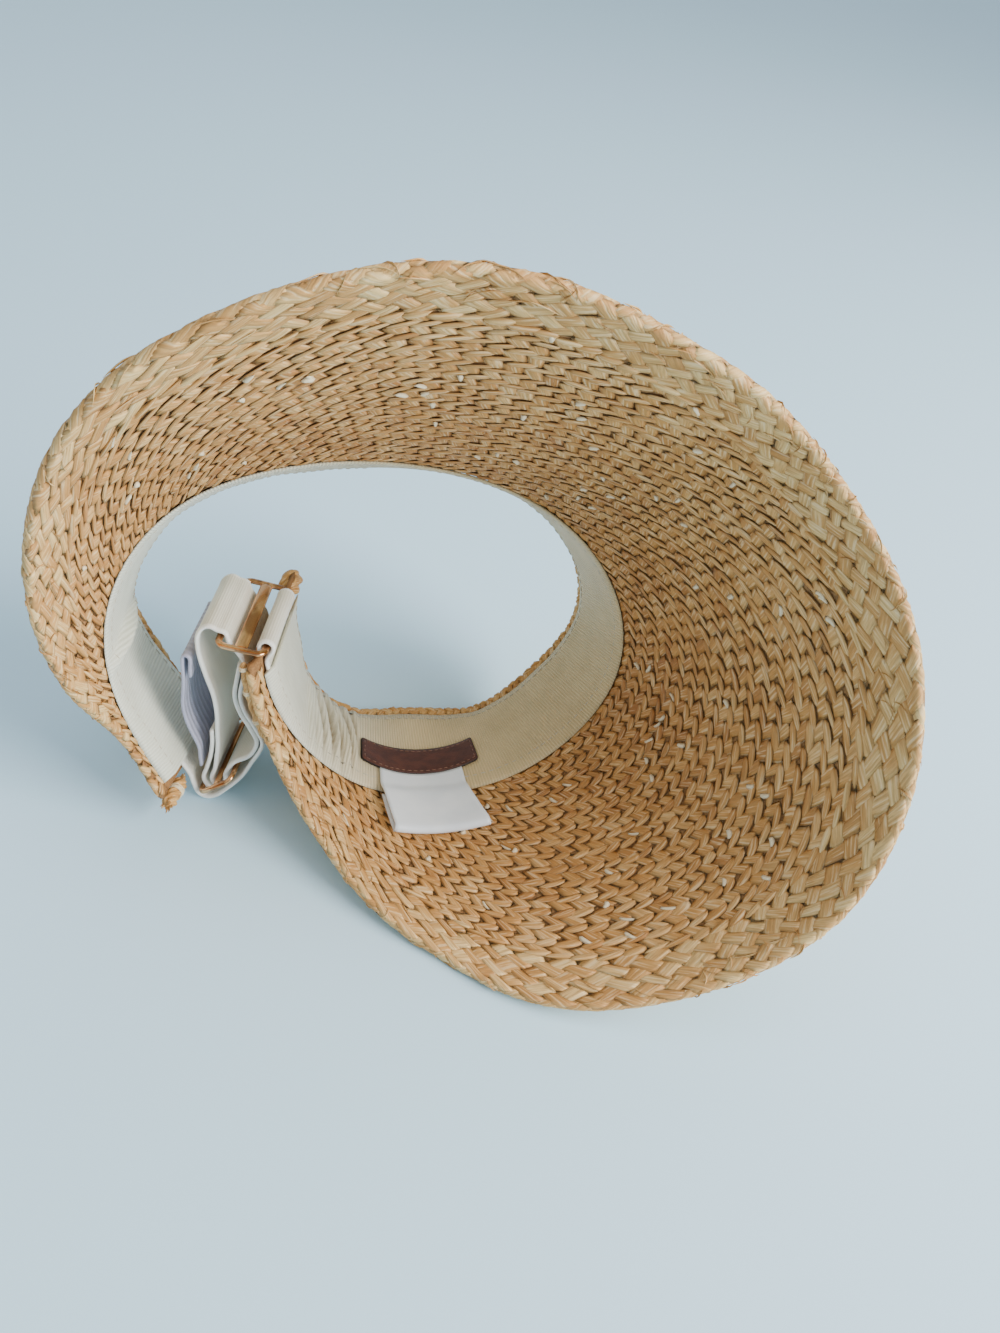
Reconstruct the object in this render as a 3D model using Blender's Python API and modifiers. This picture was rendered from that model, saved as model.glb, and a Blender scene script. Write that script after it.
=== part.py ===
"""Straw sun visor with an open crown, a sewn sweatband and a buckled strap, lying on its side."""
import math
from collections import namedtuple

import bpy
import numpy as np
from mathutils import Matrix, Vector

# Driving dimensions, in metres
BAND_LENGTH = 0.500        # along the seam between brim and band, end to end
BAND_WIDTH = 0.046         # seam to crown edge
BRIM_DEPTH = 0.118         # seam to rim at the front
STRAW = 0.0022             # thickness of the sewn straw braid
RIM_BRAID_WIDTH = 0.017
RIM_BRAID_THICK = 0.0026
RIM_BRAID_SHARE = 0.45     # most of the brim's depth that the rim braid takes, where the brim is narrow
LINING = 0.0012
CROWN_MARGIN = 0.005       # straw that shows beyond the sweatband
GAP = 0.0003               # clearance between pieces that touch

LABEL_LENGTH = 0.050
LABEL_HEIGHT = 0.0125
LABEL_THICK = 0.0010
LABEL_ALONG = 0.626        # place of the label's middle, as a share of half the band's length
LABEL_UP = 0.0145          # its middle above the seam
LABEL_BOW = 0.0045         # its ends stand this much higher than its middle

TAG_WIDTH = 0.034
TAG_DROP = 0.020           # how far the tag's fold hangs past the seam
TAG_THICK = 0.0010
TAG_OPEN = 0.0016          # space between the tag's two layers
TAG_SHIFT = -0.0050        # how far the tag's free end drifts along the band

STRAP_WIDTH = 0.030
STRAP_THICK = 0.0014
STRAP_UP = 0.012           # the strap's near edge above the seam at the left end
TAB_UP = 0.002             # the tab's near edge above the seam at the right end
STRAP_ON_BAND = 0.015      # length of strap sewn to the band at each end
ELASTIC_THICK = 0.0012

SLIDER_LENGTH = 0.0175     # along the strap
SLIDER_BAR = 0.0024
SLIDER_THICK = 0.0016
SLIDER_CLEAR = 0.0018      # between the strap's edges and the slider's short sides

ROLL_RADIUS = 0.0026
ROLL_LENGTH = 0.014
TIP_RADIUS = 0.0034
TIP_LENGTH = 0.011
STRAND_RADIUS = 0.0012
STRAND_LENGTH = 0.026

STRAW_END = 0.99           # the straw stops here at the right end, as a share of half the band's length
LINING_FROM = -0.985
LINING_TO = 0.965

LAY_TURNS = (-132.7, -47.2, 47.6)   # degrees about X, Y and Z that lay the worn visor on its side

# Stations along the band, from the left end at -1 to the right end at 1.
# turn: direction of the seam in plan, degrees. rise: height of the seam, a share of BAND_WIDTH.
# lean: degrees that the band leans inwards. sweep: degrees that it leans towards the nearer end.
# flare: degrees that the brim flares from straight down. depth: a share of BRIM_DEPTH.
Station = namedtuple("Station", "along turn rise lean sweep flare depth")
STATIONS = [
    Station(-1.00, -154, 0.09, 24, 5, 20, 0.038),
    Station(-0.90, -145, -0.02, 18, 1, 21, 0.036),
    Station(-0.78, -125, -0.21, 6, 0, 22, 0.18),
    Station(-0.64, -90, -0.28, 4, 0, 22, 0.45),
    Station(-0.50, -57, -0.30, 5, 0, 22, 0.79),
    Station(-0.33, -36, -0.22, 6, 0, 23, 0.98),
    Station(-0.16, -19, -0.08, 2, 0, 21, 1.00),
    Station(0.00, 4, 0.07, -2, 0, 22, 0.97),
    Station(0.16, 39, 0.15, 2, 0, 22, 1.02),
    Station(0.33, 93, 0.23, 19, 0, 27, 1.01),
    Station(0.50, 126, 0.21, 21, 0, 28, 0.83),
    Station(0.64, 150, 0.23, 28, 0, 28, 0.56),
    Station(0.78, 187, 0.17, 16, 0, 28, 0.24),
    Station(0.90, 212, 0.00, 19, 2, 28, 0.085),
    Station(1.00, 235, -0.22, 19, 7, 30, 0.045),
]

# Pleats in the sweatband. seam and crown: where the ridge starts and ends along the band.
# height: how far it stands off the straw, and reach: half its width, both shares of BAND_WIDTH.
Pleat = namedtuple("Pleat", "seam crown height reach")
PLEATS = [
    Pleat(-0.805, -0.765, 0.090, 0.085),
    Pleat(0.745, 0.760, 0.036, 0.050),
    Pleat(0.772, 0.790, 0.044, 0.055),
    Pleat(0.815, 0.835, 0.026, 0.050),
]

# Routes of the straps in the plane of their near edges.
# up and out: shares of the span between the two ends, out being away from the head.
Turn = namedtuple("Turn", "up out")
UNDER_ROUTE = [
    Turn(-0.035, -0.045), Turn(-0.085, -0.090), Turn(-0.130, -0.140), Turn(-0.132, -0.195),
    Turn(-0.090, -0.238), Turn(-0.020, -0.264), Turn(0.060, -0.287), Turn(0.140, -0.301), Turn(0.235, -0.303),
]
FALLING_ROUTE = [
    Turn(0.895, 0.312), Turn(0.850, 0.310), Turn(0.800, 0.288), Turn(0.744, 0.253), Turn(0.655, 0.176),
    Turn(0.557, 0.085), Turn(0.453, 0.015), Turn(0.349, -0.037), Turn(0.242, -0.090), Turn(0.150, -0.124),
    Turn(0.085, -0.146),
]
INNER_ROUTE = [
    Turn(0.085, -0.212), Turn(0.125, -0.199), Turn(0.165, -0.204), Turn(0.235, -0.250), Turn(0.328, -0.279),
    Turn(0.397, -0.261), Turn(0.455, -0.199), Turn(0.535, -0.088), Turn(0.622, -0.014), Turn(0.721, 0.020),
    Turn(0.825, 0.050),
]
TAIL_ROUTE = [
    Turn(-0.005, -0.116), Turn(0.065, -0.103), Turn(0.145, -0.087), Turn(0.242, -0.055), Turn(0.330, -0.012),
]
ELASTIC_ROUTE = [
    Turn(0.070, -0.068), Turn(0.127, -0.034), Turn(0.182, -0.003), Turn(0.265, 0.086), Turn(0.330, 0.148),
    Turn(0.398, 0.195), Turn(0.555, 0.262), Turn(0.665, 0.318), Turn(0.700, 0.328), Turn(0.714, 0.308),
    Turn(0.700, 0.288), Turn(0.655, 0.268), Turn(0.600, 0.240),
]
UPPER_SLIDER = (0.960, 0.096, -71.5)    # up, out and direction in degrees
LOWER_SLIDER = (0.030, -0.195, -23.5)
UPPER_PULL = (-0.070, 0.030)            # how far the upper slider's bars lean, up and out, per unit of width

# Mesh fineness
SAMPLES = 400              # steps in which the seam is laid out
STRAW_COLUMNS = 80
BRIM_ROWS = 5
BAND_ROWS = 3
LINING_COLUMNS = 96
LINING_ROWS = 4
PATH_STEP = 0.0022         # distance between a strap's sections
RISE_FROM = 0.33           # share of the span above which the strap's outer layer follows its inner one

COLOURS = {
    "straw": ((0.60, 0.40, 0.20), 0.75, 0.0),
    "pale_straw": ((0.66, 0.47, 0.26), 0.72, 0.0),
    "grosgrain": ((0.72, 0.70, 0.62), 0.85, 0.0),
    "webbing": ((0.78, 0.74, 0.66), 0.8, 0.0),
    "elastic": ((0.40, 0.40, 0.50), 0.8, 0.0),
    "leather": ((0.16, 0.06, 0.045), 0.6, 0.0),
    "satin": ((0.86, 0.87, 0.90), 0.35, 0.0),
    "rose_gold": ((0.80, 0.50, 0.30), 0.25, 1.0),
}


def smooth_curve(xs, ys, x):
    """A cubic through the table's points, with slopes taken from their neighbours."""
    xs, ys = np.asarray(xs, float), np.asarray(ys, float)
    slopes = np.gradient(ys, xs)
    i = np.clip(np.searchsorted(xs, x) - 1, 0, len(xs) - 2)
    h = xs[i + 1] - xs[i]
    s = (x - xs[i]) / h
    start = (2 * s**3 - 3 * s**2 + 1) * ys[i] + (s**3 - 2 * s**2 + s) * h * slopes[i]
    end = (3 * s**2 - 2 * s**3) * ys[i + 1] + (s**3 - s**2) * h * slopes[i + 1]
    return start + end


def unit(vectors):
    return vectors / np.linalg.norm(vectors, axis=-1, keepdims=True)


def step_up(x, low, high):
    """Smooth step from 0 at low to 1 at high."""
    s = np.clip((x - low) / (high - low), 0.0, 1.0)
    return s * s * (3 - 2 * s)


class Form:
    """The seam line and the directions of band and brim at each sample along it, as worn."""

    def __init__(self):
        self.along = np.linspace(-1.0, 1.0, SAMPLES + 1)
        columns = {name: [getattr(s, name) for s in STATIONS] for name in Station._fields}
        read = lambda name: smooth_curve(columns["along"], columns[name], self.along)
        turn = np.radians(read("turn"))
        heading = np.stack([-np.sin(turn), np.cos(turn)], axis=1)
        middle = (heading[1:] + heading[:-1]) / 2 * BAND_LENGTH / SAMPLES
        plan = np.vstack([[0.0, 0.0], np.cumsum(middle, axis=0)])
        plan -= plan.mean(axis=0)
        self.seam = np.column_stack([plan, read("rise") * BAND_WIDTH])
        tangent = unit(np.gradient(self.seam, axis=0))
        outward = unit(np.cross(tangent, [0.0, 0.0, 1.0]))
        upward = np.cross(outward, tangent)
        lean, flare = np.radians(read("lean")), np.radians(read("flare"))
        sweep = np.radians(read("sweep")) * np.sign(self.along)
        rise = np.cos(lean)[:, None] * upward - np.sin(lean)[:, None] * outward
        self.band = unit(rise + np.tan(sweep)[:, None] * tangent)
        self.brim = np.sin(flare)[:, None] * outward - np.cos(flare)[:, None] * upward
        self.band_out = unit(np.cross(tangent, self.band))
        self.brim_out = unit(np.cross(self.brim, tangent))
        self.depth = read("depth") * BRIM_DEPTH
        self.bend = flare - lean
        self.rim_width = np.minimum(RIM_BRAID_WIDTH, RIM_BRAID_SHARE * self.depth)

    def read(self, field, along):
        """A field's values at any places along the band."""
        values = getattr(self, field)
        along = np.atleast_1d(along)
        if values.ndim == 1:
            return np.interp(along, self.along, values)
        return np.column_stack([np.interp(along, self.along, values[:, k]) for k in range(3)])

    def on_band(self, along, up, lift):
        """Points up the band from the seam, lifted outwards from the straw's inner face."""
        up, lift = np.atleast_1d(up)[:, None], np.atleast_1d(lift)[:, None]
        return self.read("seam", along) + up * self.read("band", along) + lift * self.read("band_out", along)

    def on_brim(self, along, down, lift):
        """Points down the brim from the seam, lifted outwards from the straw's inner face."""
        down, lift = np.atleast_1d(down)[:, None], np.atleast_1d(lift)[:, None]
        return self.read("seam", along) + down * self.read("brim", along) + lift * self.read("brim_out", along)


FORM = Form()
HALF = BAND_LENGTH / 2
SEAM_CLEAR = GAP / 2 + STRAW * math.tan(float(np.abs(FORM.bend).max()) / 2)


def clear_scene():
    for obj in list(bpy.data.objects):
        bpy.data.objects.remove(obj, do_unlink=True)


def material(name):
    found = bpy.data.materials.get(name)
    if found:
        return found
    colour, roughness, metallic = COLOURS[name]
    made = bpy.data.materials.new(name)
    made.use_nodes = True
    shader = made.node_tree.nodes["Principled BSDF"]
    shader.inputs["Base Color"].default_value = (*colour, 1.0)
    shader.inputs["Roughness"].default_value = roughness
    shader.inputs["Metallic"].default_value = metallic
    return made


def add_object(name, data, finish, group, parent):
    obj = bpy.data.objects.new(name, data)
    data.materials.append(material(finish))
    group.objects.link(obj)
    obj.parent = parent
    return obj


def add_sheet(name, grid, thickness, side, finish, group, parent):
    """An open sheet of points in rows and columns, thickened to one side (1, 0 or -1) of its normals."""
    rows, columns = grid.shape[:2]
    mesh = bpy.data.meshes.new(name)
    faces = [
        (r * columns + c, r * columns + c + 1, (r + 1) * columns + c + 1, (r + 1) * columns + c)
        for r in range(rows - 1)
        for c in range(columns - 1)
    ]
    mesh.from_pydata([tuple(p) for p in grid.reshape(-1, 3)], [], faces)
    mesh.shade_smooth()
    obj = add_object(name, mesh, finish, group, parent)
    solid = obj.modifiers.new("Thickness", "SOLIDIFY")
    solid.thickness = thickness
    solid.offset = side
    solid.use_even_offset = True
    return obj


def straw_pieces(group, parent):
    """The brim, its rim braid and the crown band."""
    along = np.linspace(-1.0, STRAW_END, STRAW_COLUMNS + 1)
    depth, rim_width = FORM.read("depth", along), FORM.read("rim_width", along)
    inner_end = depth - rim_width - GAP
    brim = [
        FORM.on_brim(along, SEAM_CLEAR + (inner_end - SEAM_CLEAR) * r / BRIM_ROWS, np.zeros(len(along)))
        for r in range(BRIM_ROWS + 1)
    ]
    add_sheet("brim", np.array(brim), STRAW, -1, "straw", group, parent)
    rim = [FORM.on_brim(along, depth - rim_width * (1 - r), np.zeros(len(along))) for r in (0.0, 0.5, 1.0)]
    add_sheet("rim_braid", np.array(rim), RIM_BRAID_THICK, -1, "pale_straw", group, parent)
    band = []
    for r in range(BAND_ROWS + 1):
        up = SEAM_CLEAR + (BAND_WIDTH - SEAM_CLEAR) * r / BAND_ROWS
        cut = 2 * (TIP_RADIUS + GAP) / HALF * step_up(up / BAND_WIDTH, 0.1, 0.6)
        along = np.linspace(-1.0, STRAW_END - cut, STRAW_COLUMNS + 1)
        band.append(FORM.on_band(along, up, np.zeros(len(along))))
    add_sheet("crown_band", np.array(band), STRAW, 1, "straw", group, parent)


def lining_lift(along, share):
    """How far the sweatband's back stands inside the straw, with its pleats and the straps under its ends."""
    lift = np.full(len(along), GAP)
    for place, end in ((along - LINING_FROM, 1), (LINING_TO - along, 1)):
        lift = lift + (STRAP_THICK + GAP) * (1 - step_up(place * HALF, STRAP_ON_BAND, 2.2 * STRAP_ON_BAND)) * end
    for pleat in PLEATS:
        middle = pleat.seam + (pleat.crown - pleat.seam) * share
        distance = np.abs(along - middle) * HALF / (pleat.reach * BAND_WIDTH)
        fade = (0.35 + 0.65 * step_up(share, 0.0, 0.4)) * (1 - 0.7 * step_up(share, 0.6, 1.0))
        lift = lift + pleat.height * BAND_WIDTH * fade * (1 - step_up(distance, 0.0, 1.0))
    return lift


def lining_columns():
    """Columns along the sweatband, closer together at the pleats."""
    near = [np.linspace(min(p.seam, p.crown) - 0.02, max(p.seam, p.crown) + 0.02, 13) for p in PLEATS]
    places = np.concatenate([np.linspace(LINING_FROM, LINING_TO, LINING_COLUMNS + 1), *near])
    places = np.sort(places)
    keep = np.concatenate([[True], np.diff(places) > 0.003])
    places = places[keep]
    places[-1] = LINING_TO
    return places


def sweatband(group, parent):
    along = lining_columns()
    height = BAND_WIDTH - CROWN_MARGIN
    rows = []
    for r in range(LINING_ROWS + 1):
        share = r / LINING_ROWS
        rows.append(FORM.on_band(along, GAP + (height - GAP) * share, -lining_lift(along, share)))
    add_sheet("sweatband", np.array(rows), LINING, -1, "grosgrain", group, parent)


def label_height(offset):
    """Height of the label's middle line above the seam, at a distance along from its middle."""
    return LABEL_UP + LABEL_BOW * (2 * offset / LABEL_LENGTH) ** 2


def leather_label(group, parent):
    offset = np.linspace(-LABEL_LENGTH / 2, LABEL_LENGTH / 2, 15)
    along = LABEL_ALONG + offset / HALF
    lift = -(lining_lift(along, 0.0) + LINING + GAP)
    rows = [FORM.on_band(along, label_height(offset) + LABEL_HEIGHT * s, lift) for s in (-0.5, 0.0, 0.5)]
    add_sheet("leather_label", np.array(rows), LABEL_THICK, -1, "leather", group, parent)


def care_tag(group, parent):
    """A strip of satin that hangs from the label's lower edge, folds and comes back behind itself."""
    offset = np.linspace(-TAG_WIDTH / 2, TAG_WIDTH / 2, 8)
    rows = []
    face = GAP + LINING + GAP + TAG_THICK / 2
    top = label_height(offset) - LABEL_HEIGHT / 2 - GAP
    for share in (0.0, 0.35, 0.7, 1.0):
        along = LABEL_ALONG + offset / HALF
        rows.append(FORM.on_band(along, top * (1 - share) + 0.002 * share, -(face + 0.0004 * share)))
    layer = TAG_THICK / 2 + TAG_OPEN / 2
    middle = GAP + TAG_THICK + TAG_OPEN / 2 + 0.0006
    turns = [(0.10, 1, 0), (0.35, 1, 0), (0.65, 1, 0), (0.9, 1, 0)]
    turns += [(0.9, math.cos(a), math.sin(a)) for a in np.radians([36, 72, 108, 144])]
    turns += [(0.9, -1, 0), (0.65, -1, 0), (0.35, -1, 0), (0.14, -1, 0)]
    for share, side, ahead in turns:
        along = LABEL_ALONG + (offset + TAG_SHIFT * share) / HALF
        down = np.full(len(offset), TAG_DROP * share + layer * ahead)
        rows.append(FORM.on_brim(along, down, np.full(len(offset), -(middle + layer * side))))
    add_sheet("care_tag", np.array(rows), TAG_THICK, 0, "satin", group, parent)


class StrapPlane:
    """The plane in which the straps' near edges run, between the two ends of the band."""

    def __init__(self):
        inside = -(GAP + STRAP_THICK / 2)
        self.start = FORM.on_band(-1.0, STRAP_UP, inside)[0]
        self.end = FORM.on_band(1.0, TAB_UP, 0.0)[0]
        self.start_width = FORM.read("band", -1.0)[0]
        self.width = FORM.read("band", 1.0)[0]
        self.span = float(np.linalg.norm(self.end - self.start))
        self.up = (self.end - self.start) / self.span
        self.out = unit(np.cross(self.up, self.width))
        self.square_up = np.cross(self.width, self.out)
        pull_up, pull_out = UPPER_PULL
        self.upper_width = unit(self.width + pull_up * self.square_up + pull_out * self.out)

    def point(self, up, out):
        """A point of the plane from shares of the span."""
        return self.start + (up * self.up + out * self.out) * self.span

    def widths(self, points):
        """The straps' width direction at each point: straight below, pulled with the upper slider above."""
        height = (np.asarray(points) - self.start) @ self.up / self.span
        share = step_up(height, 0.45, 0.85)[:, None]
        return unit(self.width * (1 - share) + self.upper_width * share)

    def bar(self, slider, place):
        """Shares of a slider's bar: place -1, 0 or 1 along the slider."""
        up, out, degrees = slider
        reach = place * (SLIDER_LENGTH - SLIDER_BAR) / 2 / self.span
        return up + reach * math.cos(math.radians(degrees)), out + reach * math.sin(math.radians(degrees))

    def around(self, slider, place, angles, thickness):
        """Turns of a strap round a slider's bar, at its clearance."""
        up, out = self.bar(slider, place)
        radius = (math.hypot(SLIDER_BAR, SLIDER_THICK) / 2 + GAP + thickness / 2) / self.span
        return [Turn(up + radius * math.cos(a), out + radius * math.sin(a)) for a in np.radians(angles)]


PLANE = StrapPlane()


def resample(points, step, *more):
    """Points a step apart on a smooth curve through the given ones, with other values that go along."""
    columns = np.hstack([np.asarray(points, float), *more])
    chord = np.linalg.norm(np.diff(columns[:, :3], axis=0), axis=1) ** 0.5
    chord = np.concatenate([[0.0], np.cumsum(chord)])
    fine = np.linspace(0.0, chord[-1], 40 * len(columns))
    dense = np.column_stack([smooth_curve(chord, column, fine) for column in columns.T])
    length = np.linalg.norm(np.diff(dense[:, :3], axis=0), axis=1)
    length = np.concatenate([[0.0], np.cumsum(length)])
    places = np.linspace(0.0, length[-1], max(4, round(length[-1] / step)) + 1)
    return np.column_stack([np.interp(places, length, column) for column in dense.T])


def sewn_route(start, end, up, count):
    """Near edge and width directions of a strap sewn inside the band, from one place along it to another."""
    along = np.linspace(start, end, count)
    return FORM.on_band(along, up, -(GAP + STRAP_THICK / 2)), FORM.read("band", along)


def add_strap(name, near, widths, thickness, finish, group, parent):
    """A strap: a sheet from its near edge across its width, thickened both ways."""
    laid = resample(near, PATH_STEP, widths)
    far = laid[:, :3] + unit(laid[:, 3:]) * STRAP_WIDTH
    add_sheet(name, np.array([laid[:, :3], far]), thickness, 0, finish, group, parent)


def plane_points(turns):
    return [PLANE.point(t.up, t.out) for t in turns]


def beside(points, distance):
    """The same route at a distance to its inner side, within the strap plane."""
    points = np.asarray(points)
    ahead = unit(np.gradient(points, axis=0))
    return points + unit(np.cross(PLANE.width, ahead)) * distance


def adjuster_strap(group, parent):
    """From the left end under the lower slider, up over the upper slider, and down round the middle bar."""
    sewn, sewn_widths = sewn_route(-1.0 + STRAP_ON_BAND / HALF, -1.0, STRAP_UP, 6)
    inner = resample(plane_points(INNER_ROUTE), 3 * PATH_STEP)
    outer = beside(inner, STRAP_THICK + 2 * GAP)
    rising = list(outer[(outer - PLANE.start) @ PLANE.up > RISE_FROM * PLANE.span])
    over = plane_points(PLANE.around(UPPER_SLIDER, -1, (-75, -35, 5, 45, 80), STRAP_THICK))
    fold = plane_points(PLANE.around(LOWER_SLIDER, 0, (110, 160, 210, 255, 300), STRAP_THICK))
    free = plane_points(UNDER_ROUTE) + rising + over + plane_points(FALLING_ROUTE) + fold + list(inner)
    near = np.vstack([sewn, free])
    widths = np.vstack([sewn_widths, PLANE.widths(free)])
    add_strap("adjuster_strap", near, widths, STRAP_THICK, "webbing", group, parent)


def tail_strap(group, parent):
    """The short tail hooked on the lower slider's left bar, lying against the falling strap."""
    hook = PLANE.around(LOWER_SLIDER, -1, (-95, -55, -10), STRAP_THICK)
    near = plane_points(hook + TAIL_ROUTE)
    add_strap("tail_strap", near, PLANE.widths(near), STRAP_THICK, "webbing", group, parent)


def elastic_strap(group, parent):
    """The ribbed elastic that stands beside the tail and folds over at its top."""
    near = plane_points(ELASTIC_ROUTE)
    add_strap("elastic_strap", near, PLANE.widths(near), ELASTIC_THICK, "elastic", group, parent)


def end_tab(group, parent):
    """The tab sewn under the lining at the right end and looped round the upper slider's right bar."""
    sewn, sewn_widths = sewn_route(STRAW_END - STRAP_ON_BAND / HALF, STRAW_END - 2 * STRAP_THICK / HALF, TAB_UP, 5)
    loop = plane_points(PLANE.around(UPPER_SLIDER, 1, (-70, -25, 20, 65, 105, 140), STRAP_THICK))
    near = np.vstack([sewn, loop])
    widths = np.vstack([sewn_widths, np.tile(PLANE.upper_width, (len(loop), 1))])
    add_strap("end_tab", near, widths, STRAP_THICK, "webbing", group, parent)


def rectangle(spline, left, right, low, high):
    corners = [(left, low), (right, low), (right, high), (left, high)]
    spline.points.add(len(corners) - 1)
    for point, (x, y) in zip(spline.points, corners):
        point.co = (x, y, 0.0, 1.0)
    spline.use_cyclic_u = True


def add_slider(name, slider, width, group, parent):
    """A flat frame with a middle bar, its bars running across the strap in the width direction."""
    curve = bpy.data.curves.new(name, "CURVE")
    curve.dimensions = "2D"
    curve.fill_mode = "BOTH"
    curve.extrude = SLIDER_THICK / 2
    low = -(SLIDER_CLEAR + SLIDER_BAR)
    high = STRAP_WIDTH + SLIDER_CLEAR + SLIDER_BAR
    half = SLIDER_LENGTH / 2
    rectangle(curve.splines.new("POLY"), -half, half, low, high)
    for side in (-1, 1):
        edges = sorted((side * SLIDER_BAR / 2, side * (half - SLIDER_BAR)))
        rectangle(curve.splines.new("POLY"), *edges, low + SLIDER_BAR, high - SLIDER_BAR)
    obj = add_object(name, curve, "rose_gold", group, parent)
    up, out, degrees = slider
    angle = math.radians(degrees)
    ahead = math.cos(angle) * PLANE.square_up + math.sin(angle) * PLANE.out
    across = unit(ahead - (ahead @ width) * width)
    turn = Matrix([across, width, np.cross(across, width)]).transposed()
    obj.matrix_local = Matrix.Translation(Vector(PLANE.point(up, out))) @ turn.to_4x4()
    return obj


def add_tube(name, points, radius, finish, group, parent):
    curve = bpy.data.curves.new(name, "CURVE")
    curve.dimensions = "3D"
    curve.bevel_depth = radius
    curve.bevel_resolution = 2
    curve.use_fill_caps = True
    spline = curve.splines.new("POLY")
    spline.points.add(len(points) - 1)
    for point, place in zip(spline.points, points):
        point.co = (*place, 1.0)
    return add_object(name, curve, finish, group, parent)


def end_roll(group, parent):
    """The rolled straw bound along the left end's edge, next to the rim."""
    tangent = unit(FORM.read("seam", -0.99) - FORM.read("seam", -1.0))[0]
    start = FORM.read("seam", -1.0)[0] - tangent * (ROLL_RADIUS + GAP)
    rim = start + FORM.read("brim", -1.0)[0] * FORM.read("depth", -1.0)[0]
    middle = STRAW / 2 * FORM.read("band_out", -1.0)[0]
    top = start + FORM.read("band", -1.0)[0] * (ROLL_LENGTH - FORM.read("depth", -1.0)[0])
    points = [rim + middle, start + middle, (start + top) / 2 + middle, top + middle]
    add_tube("end_roll", resample(points, ROLL_RADIUS), ROLL_RADIUS, "straw", group, parent)


def end_tip(group, parent):
    """The folded straw that sticks out past the tab at the right end's crown corner."""
    along = np.full(4, STRAW_END - (TIP_RADIUS + GAP) / HALF)
    low = TAB_UP + STRAP_WIDTH + SLIDER_CLEAR + SLIDER_BAR + 4 * GAP
    up = np.linspace(low, low + TIP_LENGTH, 4)
    points = FORM.on_band(along, up, STRAW / 2)
    add_tube("end_tip", points, TIP_RADIUS, "straw", group, parent)


def tie_strand(group, parent):
    """A loose strand tied along the outer side of the right end's rim."""
    along = np.linspace(STRAW_END - STRAND_LENGTH / HALF, STRAW_END, 12)
    depth = FORM.read("depth", along)
    lift = np.full(len(along), RIM_BRAID_THICK + GAP + STRAND_RADIUS)
    points = FORM.on_brim(along, depth * 0.7, lift)
    add_tube("tie_strand", points, STRAND_RADIUS, "pale_straw", group, parent)


def lay_down(root, group):
    """Stand the laid visor on the floor with the middle of its box over the origin."""
    root.rotation_euler = [math.radians(t) for t in LAY_TURNS]
    bpy.context.view_layer.update()
    graph = bpy.context.evaluated_depsgraph_get()
    corners = []
    for obj in group.objects:
        if obj == root:
            continue
        shape = obj.evaluated_get(graph)
        mesh = shape.to_mesh()
        corners.extend(shape.matrix_world @ v.co for v in mesh.vertices)
        shape.to_mesh_clear()
    corners = np.array(corners)
    low, high = corners.min(axis=0), corners.max(axis=0)
    root.location = (-(low[0] + high[0]) / 2, -(low[1] + high[1]) / 2, -low[2])


def main():
    clear_scene()
    group = bpy.data.collections.new("straw_visor")
    bpy.context.scene.collection.children.link(group)
    root = bpy.data.objects.new("lay", None)
    group.objects.link(root)
    straw_pieces(group, root)
    sweatband(group, root)
    leather_label(group, root)
    care_tag(group, root)
    adjuster_strap(group, root)
    tail_strap(group, root)
    elastic_strap(group, root)
    end_tab(group, root)
    add_slider("upper_slider", UPPER_SLIDER, PLANE.upper_width, group, root)
    add_slider("lower_slider", LOWER_SLIDER, PLANE.width, group, root)
    end_roll(group, root)
    end_tip(group, root)
    tie_strand(group, root)
    lay_down(root, group)
    bpy.context.view_layer.update()


main()
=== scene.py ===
"""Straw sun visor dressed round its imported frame: plaited straw, sewn lining, straps, sliders and labels."""

import logging
import math
from dataclasses import dataclass, replace
from enum import Enum
from typing import Any, Callable, NamedTuple, Sequence

import bpy
import numpy as np
from mathutils import Euler, Matrix, Vector

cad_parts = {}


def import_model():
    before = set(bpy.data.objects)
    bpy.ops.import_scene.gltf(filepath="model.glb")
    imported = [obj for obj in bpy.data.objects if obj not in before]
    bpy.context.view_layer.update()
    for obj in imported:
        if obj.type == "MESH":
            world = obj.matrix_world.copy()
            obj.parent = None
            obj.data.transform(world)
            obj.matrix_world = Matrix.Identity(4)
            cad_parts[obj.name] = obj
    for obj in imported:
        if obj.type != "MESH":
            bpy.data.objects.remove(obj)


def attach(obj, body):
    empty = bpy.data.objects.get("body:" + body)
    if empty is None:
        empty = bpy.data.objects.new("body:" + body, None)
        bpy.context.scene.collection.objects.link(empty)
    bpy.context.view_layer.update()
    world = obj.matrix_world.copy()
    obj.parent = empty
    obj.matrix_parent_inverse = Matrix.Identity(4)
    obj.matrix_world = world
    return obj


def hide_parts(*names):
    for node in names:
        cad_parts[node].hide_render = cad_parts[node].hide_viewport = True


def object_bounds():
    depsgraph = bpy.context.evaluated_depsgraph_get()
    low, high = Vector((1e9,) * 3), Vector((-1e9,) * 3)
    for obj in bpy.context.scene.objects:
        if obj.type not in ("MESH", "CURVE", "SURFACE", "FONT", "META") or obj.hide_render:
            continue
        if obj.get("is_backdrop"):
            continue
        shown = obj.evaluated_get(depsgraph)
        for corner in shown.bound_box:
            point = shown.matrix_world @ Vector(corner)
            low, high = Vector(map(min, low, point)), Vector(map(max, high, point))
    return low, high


LOG = logging.getLogger("straw_visor")
MM = 0.001
Array = np.ndarray
Numbers = np.ndarray | float
Triple = tuple[float, float, float]
Colour = Triple

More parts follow.
